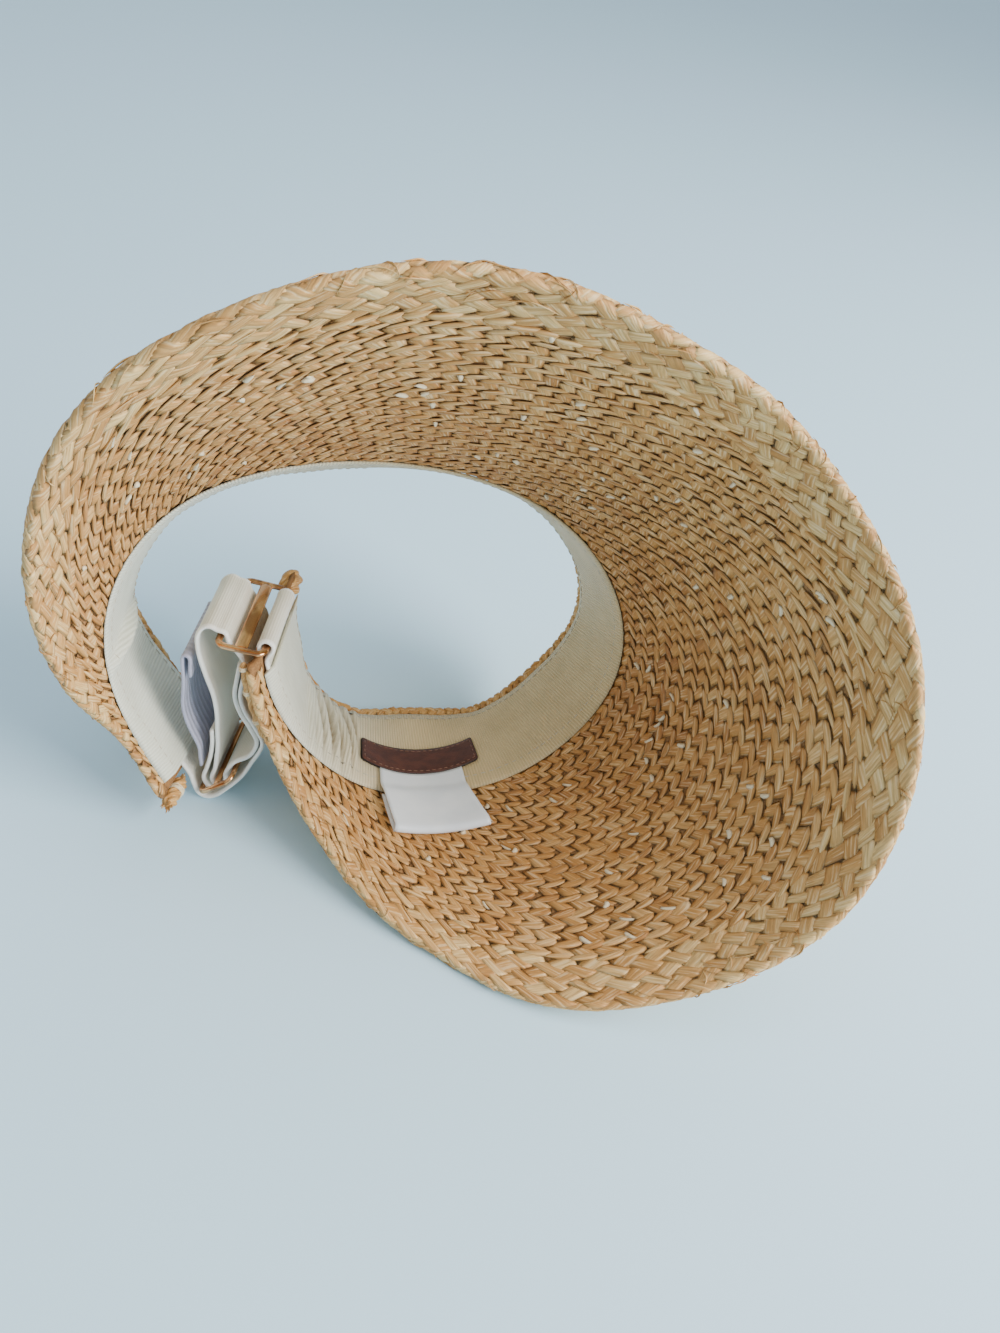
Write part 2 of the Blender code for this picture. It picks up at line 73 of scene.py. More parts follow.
# The visor's own sizes in metres, the same as those of its solids
BAND_LENGTH = 0.500
BAND_WIDTH = 0.046
BRIM_DEPTH = 0.118
STRAW = 0.0022
RIM_WIDTH = 0.017
RIM_THICK = 0.0026
RIM_SHARE = 0.45
LINING = 0.0012
CROWN_MARGIN = 0.005
GAP = 0.0003
STRAP_WIDTH = 0.030
STRAP_THICK = 0.0014
STRAP_UP = 0.012
TAB_UP = 0.002
STRAP_ON_BAND = 0.015
SLIDER_LENGTH = 0.0175
SLIDER_BAR = 0.0024
SLIDER_THICK = 0.0016
SLIDER_CLEAR = 0.0018
PALE_REACH = 0.1
STRAW_END = 0.99
LINING_FROM = -0.985
LINING_TO = 0.965
HALF = BAND_LENGTH / 2

# How the worn visor is laid on its side
LAY_TURNS = (-132.7, -47.2, 47.6)
LAY_PLACE = (-0.03429, 0.00971, 0.06417)


class Station(NamedTuple):
    """One place along the band: turn, lean, sweep and flare in degrees, rise and depth as shares."""

    along: float
    turn: float
    rise: float
    lean: float
    sweep: float
    flare: float
    depth: float


STATIONS = [
    Station(-1.00, -154, 0.09, 24, 5, 20, 0.038),
    Station(-0.90, -145, -0.02, 18, 1, 21, 0.036),
    Station(-0.78, -125, -0.21, 6, 0, 22, 0.18),
    Station(-0.64, -90, -0.28, 4, 0, 22, 0.45),
    Station(-0.50, -57, -0.30, 5, 0, 22, 0.79),
    Station(-0.33, -36, -0.22, 6, 0, 23, 0.98),
    Station(-0.16, -19, -0.08, 2, 0, 21, 1.00),
    Station(0.00, 4, 0.07, -2, 0, 22, 0.97),
    Station(0.16, 39, 0.15, 2, 0, 22, 1.02),
    Station(0.33, 93, 0.23, 19, 0, 27, 1.01),
    Station(0.50, 126, 0.21, 21, 0, 28, 0.83),
    Station(0.64, 150, 0.23, 28, 0, 28, 0.56),
    Station(0.78, 187, 0.17, 16, 0, 28, 0.24),
    Station(0.90, 212, 0.00, 19, 2, 28, 0.085),
    Station(1.00, 235, -0.22, 19, 7, 30, 0.045),
]


class Pleat(NamedTuple):
    """A pleat of the lining: where its ridge runs along the band, its height and half its width."""

    seam: float
    crown: float
    height: float
    reach: float


PLEATS = [
    Pleat(-0.805, -0.765, 0.090, 0.085),
    Pleat(0.745, 0.760, 0.036, 0.050),
    Pleat(0.772, 0.790, 0.044, 0.055),
    Pleat(0.815, 0.835, 0.026, 0.050),
]

# Routes of the straps' near edges, as (up, out) shares of the span between the two ends
UNDER_ROUTE = [
    (-0.035, -0.045), (-0.085, -0.090), (-0.130, -0.140), (-0.132, -0.195), (-0.090, -0.238),
    (-0.020, -0.264), (0.060, -0.287), (0.140, -0.301), (0.235, -0.303),
]
FALLING_ROUTE = [
    (0.950, 0.288), (0.915, 0.316), (0.860, 0.318), (0.800, 0.290), (0.744, 0.253), (0.655, 0.176),
    (0.557, 0.085), (0.453, 0.015), (0.349, -0.037), (0.242, -0.090), (0.150, -0.124), (0.085, -0.146),
]
INNER_ROUTE = [
    (0.085, -0.212), (0.125, -0.199), (0.165, -0.204), (0.235, -0.250), (0.328, -0.279), (0.397, -0.261),
    (0.455, -0.199), (0.535, -0.088), (0.622, -0.014), (0.721, 0.020), (0.825, 0.050),
]
TAIL_ROUTE = [(-0.005, -0.116), (0.065, -0.103), (0.145, -0.087), (0.242, -0.055), (0.330, -0.012)]
ELASTIC_ROUTE = [
    (0.070, -0.068), (0.127, -0.034), (0.182, -0.003), (0.265, 0.086), (0.330, 0.148), (0.398, 0.195),
    (0.555, 0.262), (0.665, 0.318), (0.700, 0.328), (0.714, 0.308), (0.700, 0.288), (0.655, 0.268),
    (0.600, 0.240),
]
UPPER_SLIDER = (0.960, 0.096, -71.5)
LOWER_SLIDER = (0.030, -0.195, -23.5)
UPPER_PULL = (-0.070, 0.030)


# Curves and surfaces


def smooth_curve(xs: Sequence[float], ys: Sequence[float], x: Array) -> Array:
    """Reads a smooth cubic through a table's points.

    Args:
        xs: The table's places, rising.
        ys: The values there.
        x: Where to read it.

    Returns:
        The values at x.
    """
    xs, ys = np.asarray(xs, float), np.asarray(ys, float)
    slopes = np.gradient(ys, xs)
    i = np.clip(np.searchsorted(xs, x) - 1, 0, len(xs) - 2)
    h = xs[i + 1] - xs[i]
    s = (x - xs[i]) / h
    start = (2 * s**3 - 3 * s**2 + 1) * ys[i] + (s**3 - 2 * s**2 + s) * h * slopes[i]
    end = (3 * s**2 - 2 * s**3) * ys[i + 1] + (s**3 - s**2) * h * slopes[i + 1]
    return start + end


def unit(vectors: Array) -> Array:
    """Vectors of length one in the same directions."""
    return vectors / np.linalg.norm(vectors, axis=-1, keepdims=True)


def stacked(*parts: Any) -> Array:
    """Vectors from numbers of any shapes that fit together."""
    return np.stack(np.broadcast_arrays(*parts), -1)


def step_up(x: Numbers, low: float, high: float) -> Array:
    """A smooth step from 0 at low to 1 at high."""
    s = np.clip((np.asarray(x, float) - low) / (high - low), 0.0, 1.0)
    return s * s * (3 - 2 * s)


def distances(points: Array, power: float = 1.0) -> Array:
    """Distance of each point along a line, with every step raised to a power."""
    steps = np.linalg.norm(np.diff(points, axis=0), axis=1) ** power
    return np.concatenate([[0.0], np.cumsum(steps)])


def spaced(line: Array, count: int) -> Array:
    """Lays points at even distances on a dense line.

    Args:
        line: One row a point: its place, and any further values.
        count: How many points to lay.

    Returns:
        The new rows.
    """
    length = distances(line[:, :3])
    places = np.linspace(0.0, length[-1], count)
    return np.column_stack([np.interp(places, length, column) for column in line.T])


def resample(points: Array, step: float, *more: Array) -> Array:
    """Lays points at even distances on a smooth curve through the given ones.

    Args:
        points: The points that the curve passes.
        step: Distance between the new points.
        more: Further values at each point, which go along.

    Returns:
        One row a point: its place, then its further values.
    """
    columns = np.hstack([np.asarray(points, float), *more])
    chord = distances(columns[:, :3], 0.5)
    fine = np.linspace(0.0, chord[-1], 40 * len(columns))
    dense = np.column_stack([smooth_curve(chord, column, fine) for column in columns.T])
    return spaced(dense, max(4, round(distances(dense[:, :3])[-1] / step)) + 1)


def round_turns(count: int) -> Array:
    """Even angles round a circle."""
    return np.linspace(0, 2 * math.pi, count + 1)[:-1]


def tube(line: Array, side: Array, top: Array, wide: Array, high: Array) -> Array:
    """Sets sections round a line.

    Args:
        line: The line's points.
        side: The direction to one side, for each point or for all.
        top: The direction square to it.
        wide: How far a section's points stand to the side.
        high: How far they stand to the top.

    Returns:
        The sections' points.
    """
    return line[:, None] + wide[..., None] * side[..., None, :] + high[..., None] * top[..., None, :]


class Part(Enum):
    """The two parts of the straw body."""

    BAND = "band"
    BRIM = "brim"


class Form:
    """The seam line and the directions of band and brim along it, as worn."""

    SAMPLES = 400

    def __init__(self) -> None:
        """Lays out the seam."""
        self.along = np.linspace(-1.0, 1.0, self.SAMPLES + 1)
        table = {name: [getattr(s, name) for s in STATIONS] for name in Station._fields}
        values = {name: smooth_curve(table["along"], table[name], self.along) for name in table}
        turn, lean, flare, sweep = (np.radians(values[name]) for name in ("turn", "lean", "flare", "sweep"))
        heading = np.stack([-np.sin(turn), np.cos(turn)], axis=1)
        middle = (heading[1:] + heading[:-1]) / 2 * BAND_LENGTH / self.SAMPLES
        plan = np.vstack([[0.0, 0.0], np.cumsum(middle, axis=0)])
        plan -= plan.mean(axis=0)
        self.seam = np.column_stack([plan, values["rise"] * BAND_WIDTH])
        tangent = unit(np.gradient(self.seam, axis=0))
        outward = unit(np.cross(tangent, [0.0, 0.0, 1.0]))
        upward = np.cross(outward, tangent)
        rise = np.cos(lean)[:, None] * upward - np.sin(lean)[:, None] * outward
        self.band = unit(rise + np.tan(sweep * np.sign(self.along))[:, None] * tangent)
        self.brim = np.sin(flare)[:, None] * outward - np.cos(flare)[:, None] * upward
        self.band_out = unit(np.cross(tangent, self.band))
        self.brim_out = unit(np.cross(self.brim, tangent))
        self.depth = values["depth"] * BRIM_DEPTH
        self.rim_width = np.minimum(RIM_WIDTH, RIM_SHARE * self.depth)

    def read(self, field: str, along: Numbers) -> Numbers:
        """Reads one field.

        Args:
            field: Its name.
            along: Places along the band, of any shape.

        Returns:
            A number or a vector for each place.
        """
        values = getattr(self, field)
        if values.ndim == 1:
            return np.interp(along, self.along, values)
        return np.stack([np.interp(along, self.along, column) for column in values.T], axis=-1)

    def place(self, part: Part, along: Numbers, reach: Numbers, lift: Numbers) -> Array:
        """Places points on the band or the brim.

        Args:
            part: Which of them.
            along: Places along the band.
            reach: Distances from the seam.
            lift: Distances outwards from the straw's inner face.

        Returns:
            The points, as worn.
        """
        along, reach, lift = np.broadcast_arrays(along, reach, lift)
        away = reach[..., None] * self.read(part.value, along)
        off = lift[..., None] * self.read(f"{part.value}_out", along)
        return self.read("seam", along) + (away + off)


FORM = Form()
LAY = Matrix.Translation(LAY_PLACE) @ Euler([math.radians(t) for t in LAY_TURNS]).to_matrix().to_4x4()


def laid(points: Array) -> Array:
    """Points of the worn visor, where they are when it lies on its side."""
    return points @ np.array(LAY.to_3x3()).T + np.array(LAY_PLACE)


def lining_lift(along: Array, share: Array) -> Array:
    """Finds how far the lining's back stands inside the straw.

    Args:
        along: Places along the band.
        share: Heights as shares of the lining's width.

    Returns:
        The distances, with the pleats and the straps sewn under its ends.
    """
    lift = np.full(np.broadcast(along, share).shape, GAP)
    for place in (along - LINING_FROM, LINING_TO - along):
        lift = lift + (STRAP_THICK + GAP) * (1 - step_up(place * HALF, STRAP_ON_BAND, 2.2 * STRAP_ON_BAND))
    for pleat in PLEATS:
        middle = pleat.seam + (pleat.crown - pleat.seam) * share
        distance = np.abs(along - middle) * HALF / (pleat.reach * BAND_WIDTH)
        fade = (0.35 + 0.65 * step_up(share, 0.0, 0.4)) * (1 - 0.7 * step_up(share, 0.6, 1.0))
        lift = lift + pleat.height * BAND_WIDTH * fade * (1 - step_up(distance, 0.0, 1.0))
    return lift


# Materials
Link = Any


@dataclass(frozen=True)
class Value:
    """A number that a material's nodes work out, written with Python's operators."""

    maker: "Maker"
    socket: bpy.types.NodeSocket

    def apply(self, operation: str, *others: Link) -> "Value":
        """A Math node on this value and others."""
        return self.maker.value("ShaderNodeMath", {"operation": operation}, dict(enumerate([self, *others])))

    def __add__(self, other: Link) -> "Value":
        """self + other."""
        return self.apply("ADD", other)

    __radd__ = __add__

    def __mul__(self, other: Link) -> "Value":
        """self * other."""
        return self.apply("MULTIPLY", other)

    __rmul__ = __mul__

    def __sub__(self, other: Link) -> "Value":
        """self - other."""
        return self.apply("SUBTRACT", other)

    def __rsub__(self, other: float) -> "Value":
        """other - self."""
        return self * -1.0 + other

    def wave(self, spacing: float) -> "Value":
        """A wave between 0 and 1 with this spacing."""
        return (self * (2 * math.pi / spacing)).apply("SINE") * 0.5 + 0.5

    def ramp(self, low: float, high: float) -> "Value":
        """A smooth step from 0 at low to 1 at high."""
        settings = {"interpolation_type": "SMOOTHSTEP"}
        return self.maker.value("ShaderNodeMapRange", settings, {"Value": self, 1: low, 2: high})


class Maker:
    """Builds the nodes of one material."""

    def __init__(self, name: str) -> None:
        """Starts a material.

        Args:
            name: Its name.
        """
        self.material = bpy.data.materials.new(name)
        self.material.use_nodes = True
        self.tree = self.material.node_tree
        self.shader = self.tree.nodes["Principled BSDF"]

    def node(self, kind: str, settings: dict[str, Any], inputs: dict[Any, Link]) -> bpy.types.Node:
        """Adds any node.

        Args:
            kind: Its type.
            settings: Its properties, set first. "stops" gives a ramp's places and colours.
            inputs: Values or links of its sockets, by name or number.

        Returns:
            The node.
        """
        made = self.tree.nodes.new(kind)
        for key, value in settings.items():
            if key == "stops":
                ramp = made.color_ramp
                while len(ramp.elements) < len(value):
                    ramp.elements.new(0.5)
                for element, (place, colour) in zip(ramp.elements, value):
                    element.position = place
                    element.color = (*colour, 1.0)
            else:
                setattr(made, key, value)
        for key, value in inputs.items():
            self.put(made.inputs[key], value)
        return made

    def put(self, socket: bpy.types.NodeSocket, value: Link) -> None:
        """Sets or links a socket.

        Args:
            socket: The socket that takes it.
            value: A constant, a Value or another node's output.
        """
        if isinstance(value, Value):
            value = value.socket
        if isinstance(value, bpy.types.NodeSocket):
            self.tree.links.new(value, socket)
        elif isinstance(value, tuple) and socket.type == "RGBA":
            socket.default_value = (*value, 1.0)
        else:
            socket.default_value = value

    def value(self, kind: str, settings: dict[str, Any], inputs: dict[Any, Link], out: Any = 0) -> Value:
        """A node's output as a value."""
        return Value(self, self.node(kind, settings, inputs).outputs[out])

    def attribute(self, name: str) -> tuple[Link, Value, Value, Value]:
        """Reads a vector stored on the mesh.

        Args:
            name: The attribute's name.

        Returns:
            The vector's socket and its three numbers.
        """
        vector = self.node("ShaderNodeAttribute", {"attribute_name": name}, {}).outputs["Vector"]
        parts = self.node("ShaderNodeSeparateXYZ", {}, {0: vector})
        return vector, *(Value(self, parts.outputs[k]) for k in range(3))

    def noise(self, vector: Link, scale: float, detail: float, factors: Triple | None = None) -> Value:
        """Adds a noise between about 0.2 and 0.8.

        Args:
            vector: Where it is read.
            scale: How fine it is.
            detail: Its finer layers.
            factors: What the vector is multiplied by first.

        Returns:
            The noise.
        """
        if factors:
            scaled = self.node("ShaderNodeVectorMath", {"operation": "MULTIPLY"}, {0: vector, 1: factors})
            vector = scaled.outputs[0]
        return self.value("ShaderNodeTexNoise", {}, {"Vector": vector, "Scale": scale, "Detail": detail})

    def mix(self, factor: Link, first: Link, second: Link, blend: str = "MIX") -> Link:
        """Mixes two colours.

        Args:
            factor: Share of the second one.
            first: A colour.
            second: A colour.
            blend: How they are mixed.

        Returns:
            The mixed colour's socket.
        """
        settings = {"data_type": "RGBA", "blend_type": blend}
        return self.node("ShaderNodeMix", settings, {0: factor, 6: first, 7: second}).outputs[2]

    def finish(
        self, colour: Link, roughness: Link, height: Value, depth: float, strength: float, **constants: Any
    ) -> bpy.types.Material:
        """Feeds the shader and sets its constants.

        Args:
            colour: The base colour.
            roughness: The roughness.
            height: The relief.
            depth: The relief's depth.
            strength: How strongly it shows.
            constants: Other sockets' values, with spaces written as underlines.

        Returns:
            The material.
        """
        relief = {"Height": height, "Distance": depth, "Strength": strength}
        sockets = {"Normal": self.node("ShaderNodeBump", {}, relief).outputs[0]}
        sockets |= {"Base Color": colour, "Roughness": roughness}
        for name, value in (sockets | constants).items():
            self.put(self.shader.inputs[name.replace("_", " ")], value)
        return self.material


@dataclass(frozen=True)
class BaseFinish:
    """What the finishes share: the material's name, the record's slot, a colour and a darker shade."""

    name: str
    slot: str | None
    colour: Colour
    shade: Colour


@dataclass(frozen=True)
class StrawFinish(BaseFinish):
    """Plaited straw: each strand has its own tint and fibre lines, with painted shade darkening its edges and
    tips.
    """

    brown: Colour
    shift: float = 0.0

    def make(self) -> bpy.types.Material:
        """Builds the material.

        Returns:
            The material.
        """
        maker = Maker(self.name)
        _, tint, place, edge = maker.attribute("shade")
        fibre, _, _, _ = maker.attribute("fibre")
        lines = maker.noise(fibre, 1.0, 4.0, (0.16, 1.9, 5.0))
        blotch = maker.noise(fibre, 1.0, 1.0, (0.10, 0.35, 9.0))
        depth = tint * 0.62 + (1 - place) * 0.30 + (blotch - 0.5) * 0.8 + self.shift
        stops = [(0.05, self.colour), (0.45, self.shade), (0.95, self.brown)]
        colour = maker.node("ShaderNodeValToRGB", {"stops": stops}, {0: depth}).outputs[0]
        colour = maker.mix(lines.ramp(0.50, 0.62) * 0.50, colour, (0.36, 0.18, 0.055))
        colour = maker.mix((1 - lines).ramp(0.52, 0.64) * 0.50, colour, (0.92, 0.70, 0.40))
        # Painted shade: strands darken towards their edges and tips
        colour = maker.mix(edge.ramp(0.78, 1.0) * 0.50, colour, (0.24, 0.115, 0.038))
        return maker.finish(colour, lines * 0.25 + 0.42, lines, 0.00045, 0.8, Specular_IOR_Level=0.4)


@dataclass(frozen=True)
class GroundFinish(BaseFinish):
    """The shaded straw that shows between the strands."""

    def make(self) -> bpy.types.Material:
        """Builds the material.

        Returns:
            The material.
        """
        maker = Maker(self.name)
        grain = maker.noise(maker.attribute("fibre")[0], 1.6, 3.0)
        colour = maker.mix(grain.ramp(0.3, 0.7), self.shade, self.colour)
        return maker.finish(colour, 0.85, grain, 0.0004, 0.7)


@dataclass(frozen=True)
class RibbonFinish(BaseFinish):
    """Ribbed cloth: ribs of one spacing across or along it with painted shade in their valleys, a fine weave,
    pale edges, and where a warm colour is given, painted warm shade and painted shade in creases.
    """

    rib: float
    lengthwise: bool = False
    depth: float = 0.00012
    edge_at: float = 0.0
    edge: Colour = (0.9, 0.9, 0.86)
    roughness: float = 0.62
    sheen: float = 0.25
    contrast: float = 0.42
    # Colour multiplied in as painted warm shade, from light that the straw bounces onto the cloth
    worn: Colour | None = None

    def make(self) -> bpy.types.Material:
        """Builds the material.

        Returns:
            The material.
        """
        maker = Maker(self.name)
        fibre, along, across, crease = maker.attribute("fibre")
        ribs = (across if self.lengthwise else along).wave(self.rib)
        weave = maker.noise(fibre, 1.0, 2.0, (2.6, 2.6, 1.0))
        cloud = maker.noise(fibre, 1.0, 2.0, (0.06, 0.09, 1.0))
        # Random cloudy tone, plus painted shade in the rib valleys where the relief is low
        colour = maker.mix(cloud.ramp(0.3, 0.75) * 0.35 + (1 - ribs) * self.contrast, self.colour, self.shade)
        colour = maker.mix((weave - 0.5) * 0.5 + 0.12, colour, self.shade)
        if self.worn:
            # Painted warm bounce light and shade over the lining's middle and right, fading out towards both
            # ends
            place = along.ramp(-150.0, -40.0) * (1 - along.ramp(150.0, 225.0))
            colour = maker.mix(place, colour, self.worn, "MULTIPLY")
            # Painted shade: darker deep in the gathers' creases
            colour = maker.mix(crease * 0.95, colour, (0.36, 0.28, 0.18), "MULTIPLY")
        if self.edge_at:
            half = STRAP_WIDTH / 2 / MM
            side = (across * (1.0 / half) - 1.0).apply("ABSOLUTE")
            start = 1.0 - self.edge_at / half
            colour = maker.mix(side.ramp(start - 0.02, start + 0.02), colour, self.edge)
        relief = ribs * 0.8 + weave * 0.5
        constants = {"Sheen_Weight": self.sheen, "Sheen_Roughness": 0.4}
        return maker.finish(colour, self.roughness, relief, self.depth, 0.8, **constants)


@dataclass(frozen=True)
class LeatherFinish(BaseFinish):
    """Brown leather with a fine grain, worn paler on its face and burnt dark at its edge."""

    def make(self) -> bpy.types.Material:
        """Builds the material.

        Returns:
            The material.
        """
        maker = Maker(self.name)
        fibre, _, _, edge = maker.attribute("fibre")
        cells = maker.value("ShaderNodeTexVoronoi", {}, {"Vector": fibre, "Scale": 2.2}, "Distance")
        cloud = maker.noise(fibre, 1.0, 3.0, (0.16, 0.3, 0.0))
        colour = maker.mix(cloud.ramp(0.35, 0.7), self.shade, self.colour)
        colour = maker.mix(cells.ramp(0.0, 0.5) * 0.35, colour, self.colour)
        colour = maker.mix(edge.ramp(0.80, 0.97), colour, (0.020, 0.009, 0.007))
        relief = cells + cloud * 0.5
        return maker.finish(colour, cloud * 0.2 + 0.42, relief, 0.00018, 0.6, Specular_IOR_Level=0.45)


@dataclass(frozen=True)
class SatinFinish(BaseFinish):
    """White satin with a fine cross weave and soft wear."""

    def make(self) -> bpy.types.Material:
        """Builds the material.

        Returns:
            The material.
        """
        maker = Maker(self.name)
        fibre, along, _, _ = maker.attribute("fibre")
        weft = along.wave(0.42)
        cloud = maker.noise(fibre, 1.0, 2.0, (0.12, 0.08, 1.0))
        colour = maker.mix(cloud.ramp(0.3, 0.8) * 0.6 + weft * 0.06, self.colour, self.shade)
        relief = weft * 0.4 + cloud * 3.0
        constants = {"Sheen_Weight": 0.2, "Specular_IOR_Level": 0.6}
        return maker.finish(colour, 0.28, relief, 0.00006, 0.6, **constants)


@dataclass(frozen=True)
class MetalFinish(BaseFinish):
    """Polished rose-gold plating with faint handling marks, and broad dark patches painted in its colour as
    dark reflections.
    """

    def make(self) -> bpy.types.Material:
        """Builds the material.

        Returns:
            The material.
        """
        maker = Maker(self.name)
        fibre, _, _, _ = maker.attribute("fibre")
        marks = maker.noise(fibre, 1.4, 4.0, (0.5, 2.0, 1.0))
        broad = maker.noise(fibre, 1.0, 2.0, (0.30, 0.10, 0.60))
        # Painted reflection: broad patches darken the gold as if it mirrored dark surroundings
        colour = maker.mix(broad.ramp(0.40, 0.62) * 0.85, self.colour, self.shade)
        return maker.finish(colour, marks.ramp(0.35, 0.8) * 0.14 + 0.10, marks, 0.00004, 0.4, Metallic=1.0)


@dataclass(frozen=True)
class ThreadFinish(BaseFinish):
    """Twisted sewing thread."""

    def make(self) -> bpy.types.Material:
        """Builds the material.

        Returns:
            The material.
        """
        maker = Maker(self.name)
        fibre, along, across, _ = maker.attribute("fibre")
        twist = (along + across * 1.5).wave(0.45)
        fuzz = maker.noise(fibre, 3.0, 2.0)
        colour = maker.mix(twist * 0.5 + fuzz * 0.2, self.colour, self.shade)
        return maker.finish(colour, 0.6, twist, 0.00008, 0.6, Sheen_Weight=0.2)


@dataclass(frozen=True)
class FloorFinish(BaseFinish):
    """A plain pale floor with hardly any texture."""

    def make(self) -> bpy.types.Material:
        """Builds the material.

        Returns:
            The material.
        """
        maker = Maker(self.name)
        where = maker.node("ShaderNodeTexCoord", {}, {}).outputs["Object"]
        cloud = maker.noise(where, 1.2, 2.0)
        grain = maker.noise(where, 700.0, 2.0)
        colour = maker.mix(cloud.ramp(0.3, 0.7) * 0.5 + grain * 0.1, self.colour, self.shade)
        return maker.finish(colour, 0.5, grain, 0.0002, 0.12, Specular_IOR_Level=0.3)


class Finish(Enum):
    """The visor's finishes, each with the record's material slot."""

    STRAW = StrawFinish(
        "straw_plait", "straw", (0.76, 0.455, 0.175), (0.60, 0.290, 0.078), (0.39, 0.150, 0.035)
    )
    RIM = StrawFinish(
        "rim_straw", "pale_straw", (0.80, 0.530, 0.215), (0.60, 0.305, 0.088), (0.39, 0.165, 0.042), 0.02
    )
    CROWN = StrawFinish(
        "crown_straw", "straw", (0.76, 0.45, 0.15), (0.60, 0.30, 0.075), (0.44, 0.18, 0.04), 0.06
    )
    GROUND = GroundFinish("straw_ground", "straw", (0.38, 0.19, 0.065), (0.22, 0.10, 0.032))
    # The lining's multiplied warm colour is painted warm shade, from light that the straw bounces onto it
    LINING = RibbonFinish(
        "lining_ribbon", "grosgrain", (0.87, 0.88, 0.75), (0.60, 0.60, 0.47), 1.15, depth=0.00028,
        contrast=0.55, worn=(0.91, 0.695, 0.445),
    )
    WEBBING = RibbonFinish(
        "strap_webbing", "webbing", (0.88, 0.855, 0.745), (0.68, 0.63, 0.50), 0.75, depth=0.00012,
        edge_at=1.5, edge=(0.93, 0.91, 0.84), roughness=0.5, sheen=0.35,
    )
    # Painted shade: the white elastic is coloured the dim lilac-grey that it shows in shadow
    ELASTIC = RibbonFinish(
        "elastic_ribs", "elastic", (0.50, 0.50, 0.62), (0.28, 0.28, 0.38), 2.3, True, 0.0005
    )
    LEATHER = LeatherFinish("label_leather", "leather", (0.105, 0.034, 0.021), (0.045, 0.015, 0.010))
    SATIN = SatinFinish("tag_satin", "satin", (0.90, 0.93, 0.95), (0.74, 0.79, 0.84))
    # The metal's darker shade colour is a painted dark reflection
    METAL = MetalFinish("rose_gold_plate", "rose_gold", (0.86, 0.50, 0.25), (0.34, 0.15, 0.065))
    WHITE_THREAD = ThreadFinish("white_thread", "pale_straw", (0.95, 0.80, 0.53), (0.76, 0.60, 0.36))
    CREAM_THREAD = ThreadFinish("cream_thread", "grosgrain", (0.62, 0.57, 0.45), (0.40, 0.34, 0.24))
    BROWN_THREAD = ThreadFinish("brown_thread", "leather", (0.30, 0.14, 0.08), (0.14, 0.06, 0.035))


MATERIALS: dict[Finish, bpy.types.Material] = {}


# Meshes


def loft_faces(count: int, around: int, closed: bool = False) -> Array:
    """Lists the sides of a form through sections.

    Args:
        count: Sections along it.
        around: Points in each section.
        closed: Whether the last section joins the first.

    Returns:
        The sides, four corners each.
    """
    i, j = np.meshgrid(np.arange(count if closed else count - 1), np.arange(around), indexing="ij")
    ahead, k = (i + 1) % count, (j + 1) % around
    corners = [i * around + j, i * around + k, ahead * around + k, ahead * around + j]
    if closed:
        # A slider's sections turn the other way, so its faces do too
        corners = corners[:1] + corners[:0:-1]
    return np.stack(corners, -1).reshape(-1, 4)


def capped_faces(count: int, around: int) -> list[list[int]]:
    """Faces of a closed form through sections: its sides and two caps."""
    last = (count - 1) * around
    return loft_faces(count, around).tolist() + [list(range(around))[::-1], list(range(last, last + around))]


def add_piece(
    name: str,
    points: Array,
    finish: Finish,
    fibre: Array,
    shade: Array | None = None,
    nodes: Sequence[str] = (),
    faces: list[list[int]] | None = None,
) -> bpy.types.Object:
    """Adds one piece of the visor.

    Args:
        name: The piece's name.
        points: Its vertices, as worn.
        finish: What it is made of.
        fibre: A vector a vertex: millimetres along and across the cloth or strand, and a seed, or on the
            lining the crease depth for its painted shade.
        shade: A vector a vertex: tint, share of the way to the rim, and nearness to the strand's edge, which
            sets the painted shade there.
        nodes: The CAD nodes that it stands for.
        faces: Its faces, unless its points are the sections of one closed form.

    Returns:
        The object.
    """
    mesh = bpy.data.meshes.new(name)
    faces = faces or capped_faces(*points.shape[:2])
    mesh.from_pydata(laid(points.reshape(-1, 3)).tolist(), [], faces)
    for label, values in (("fibre", fibre), ("shade", shade)):
        if values is not None:
            mesh.attributes.new(label, "FLOAT_VECTOR", "POINT").data.foreach_set("vector", values.ravel())
    mesh.shade_smooth()
    if finish not in MATERIALS:
        MATERIALS[finish] = finish.value.make()
    mesh.materials.append(MATERIALS[finish])
    obj = bpy.data.objects.new(name, mesh)
    bpy.context.scene.collection.objects.link(obj)
    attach(obj, "root")
    if nodes:
        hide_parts(*nodes)
    LOG.info("%s: %d vertices, %d faces", name, len(mesh.vertices), len(mesh.polygons))
    return obj


def add_slab(
    name: str, front: Array, back: Array, flat: Array, finish: Finish, node: str
) -> bpy.types.Object:
    """Adds a piece that has a front, a back and the same fibre on both.

    Args:
        name: The piece's name.
        front: The front's points.
        back: The back's points.
        flat: The fibre at each of them.
        finish: What it is made of.
        node: The CAD node that it stands for.

    Returns:
        The object.
    """
    points = np.hstack([front, back[:, ::-1]])
    fibre = np.hstack([flat, flat[:, ::-1]])
    return add_piece(name, points, finish, fibre, None, [node])


class Side(Enum):
    """The two faces of the straw."""

    INNER = 1
    OUTER = -1


@dataclass(frozen=True)
class Strand:
    """The shape of one kind of strand, in metres and degrees, and how strongly its edges get painted shade."""

    length: float
    width: float
    slant: float
    rise: float
    tuck: float = 0.0003
    tilt: float = 0.0
    pointed: float = 0.2
    bow: float = 0.0
    jitter: float = 1.0
    painted_edge_shade: float = 1.0


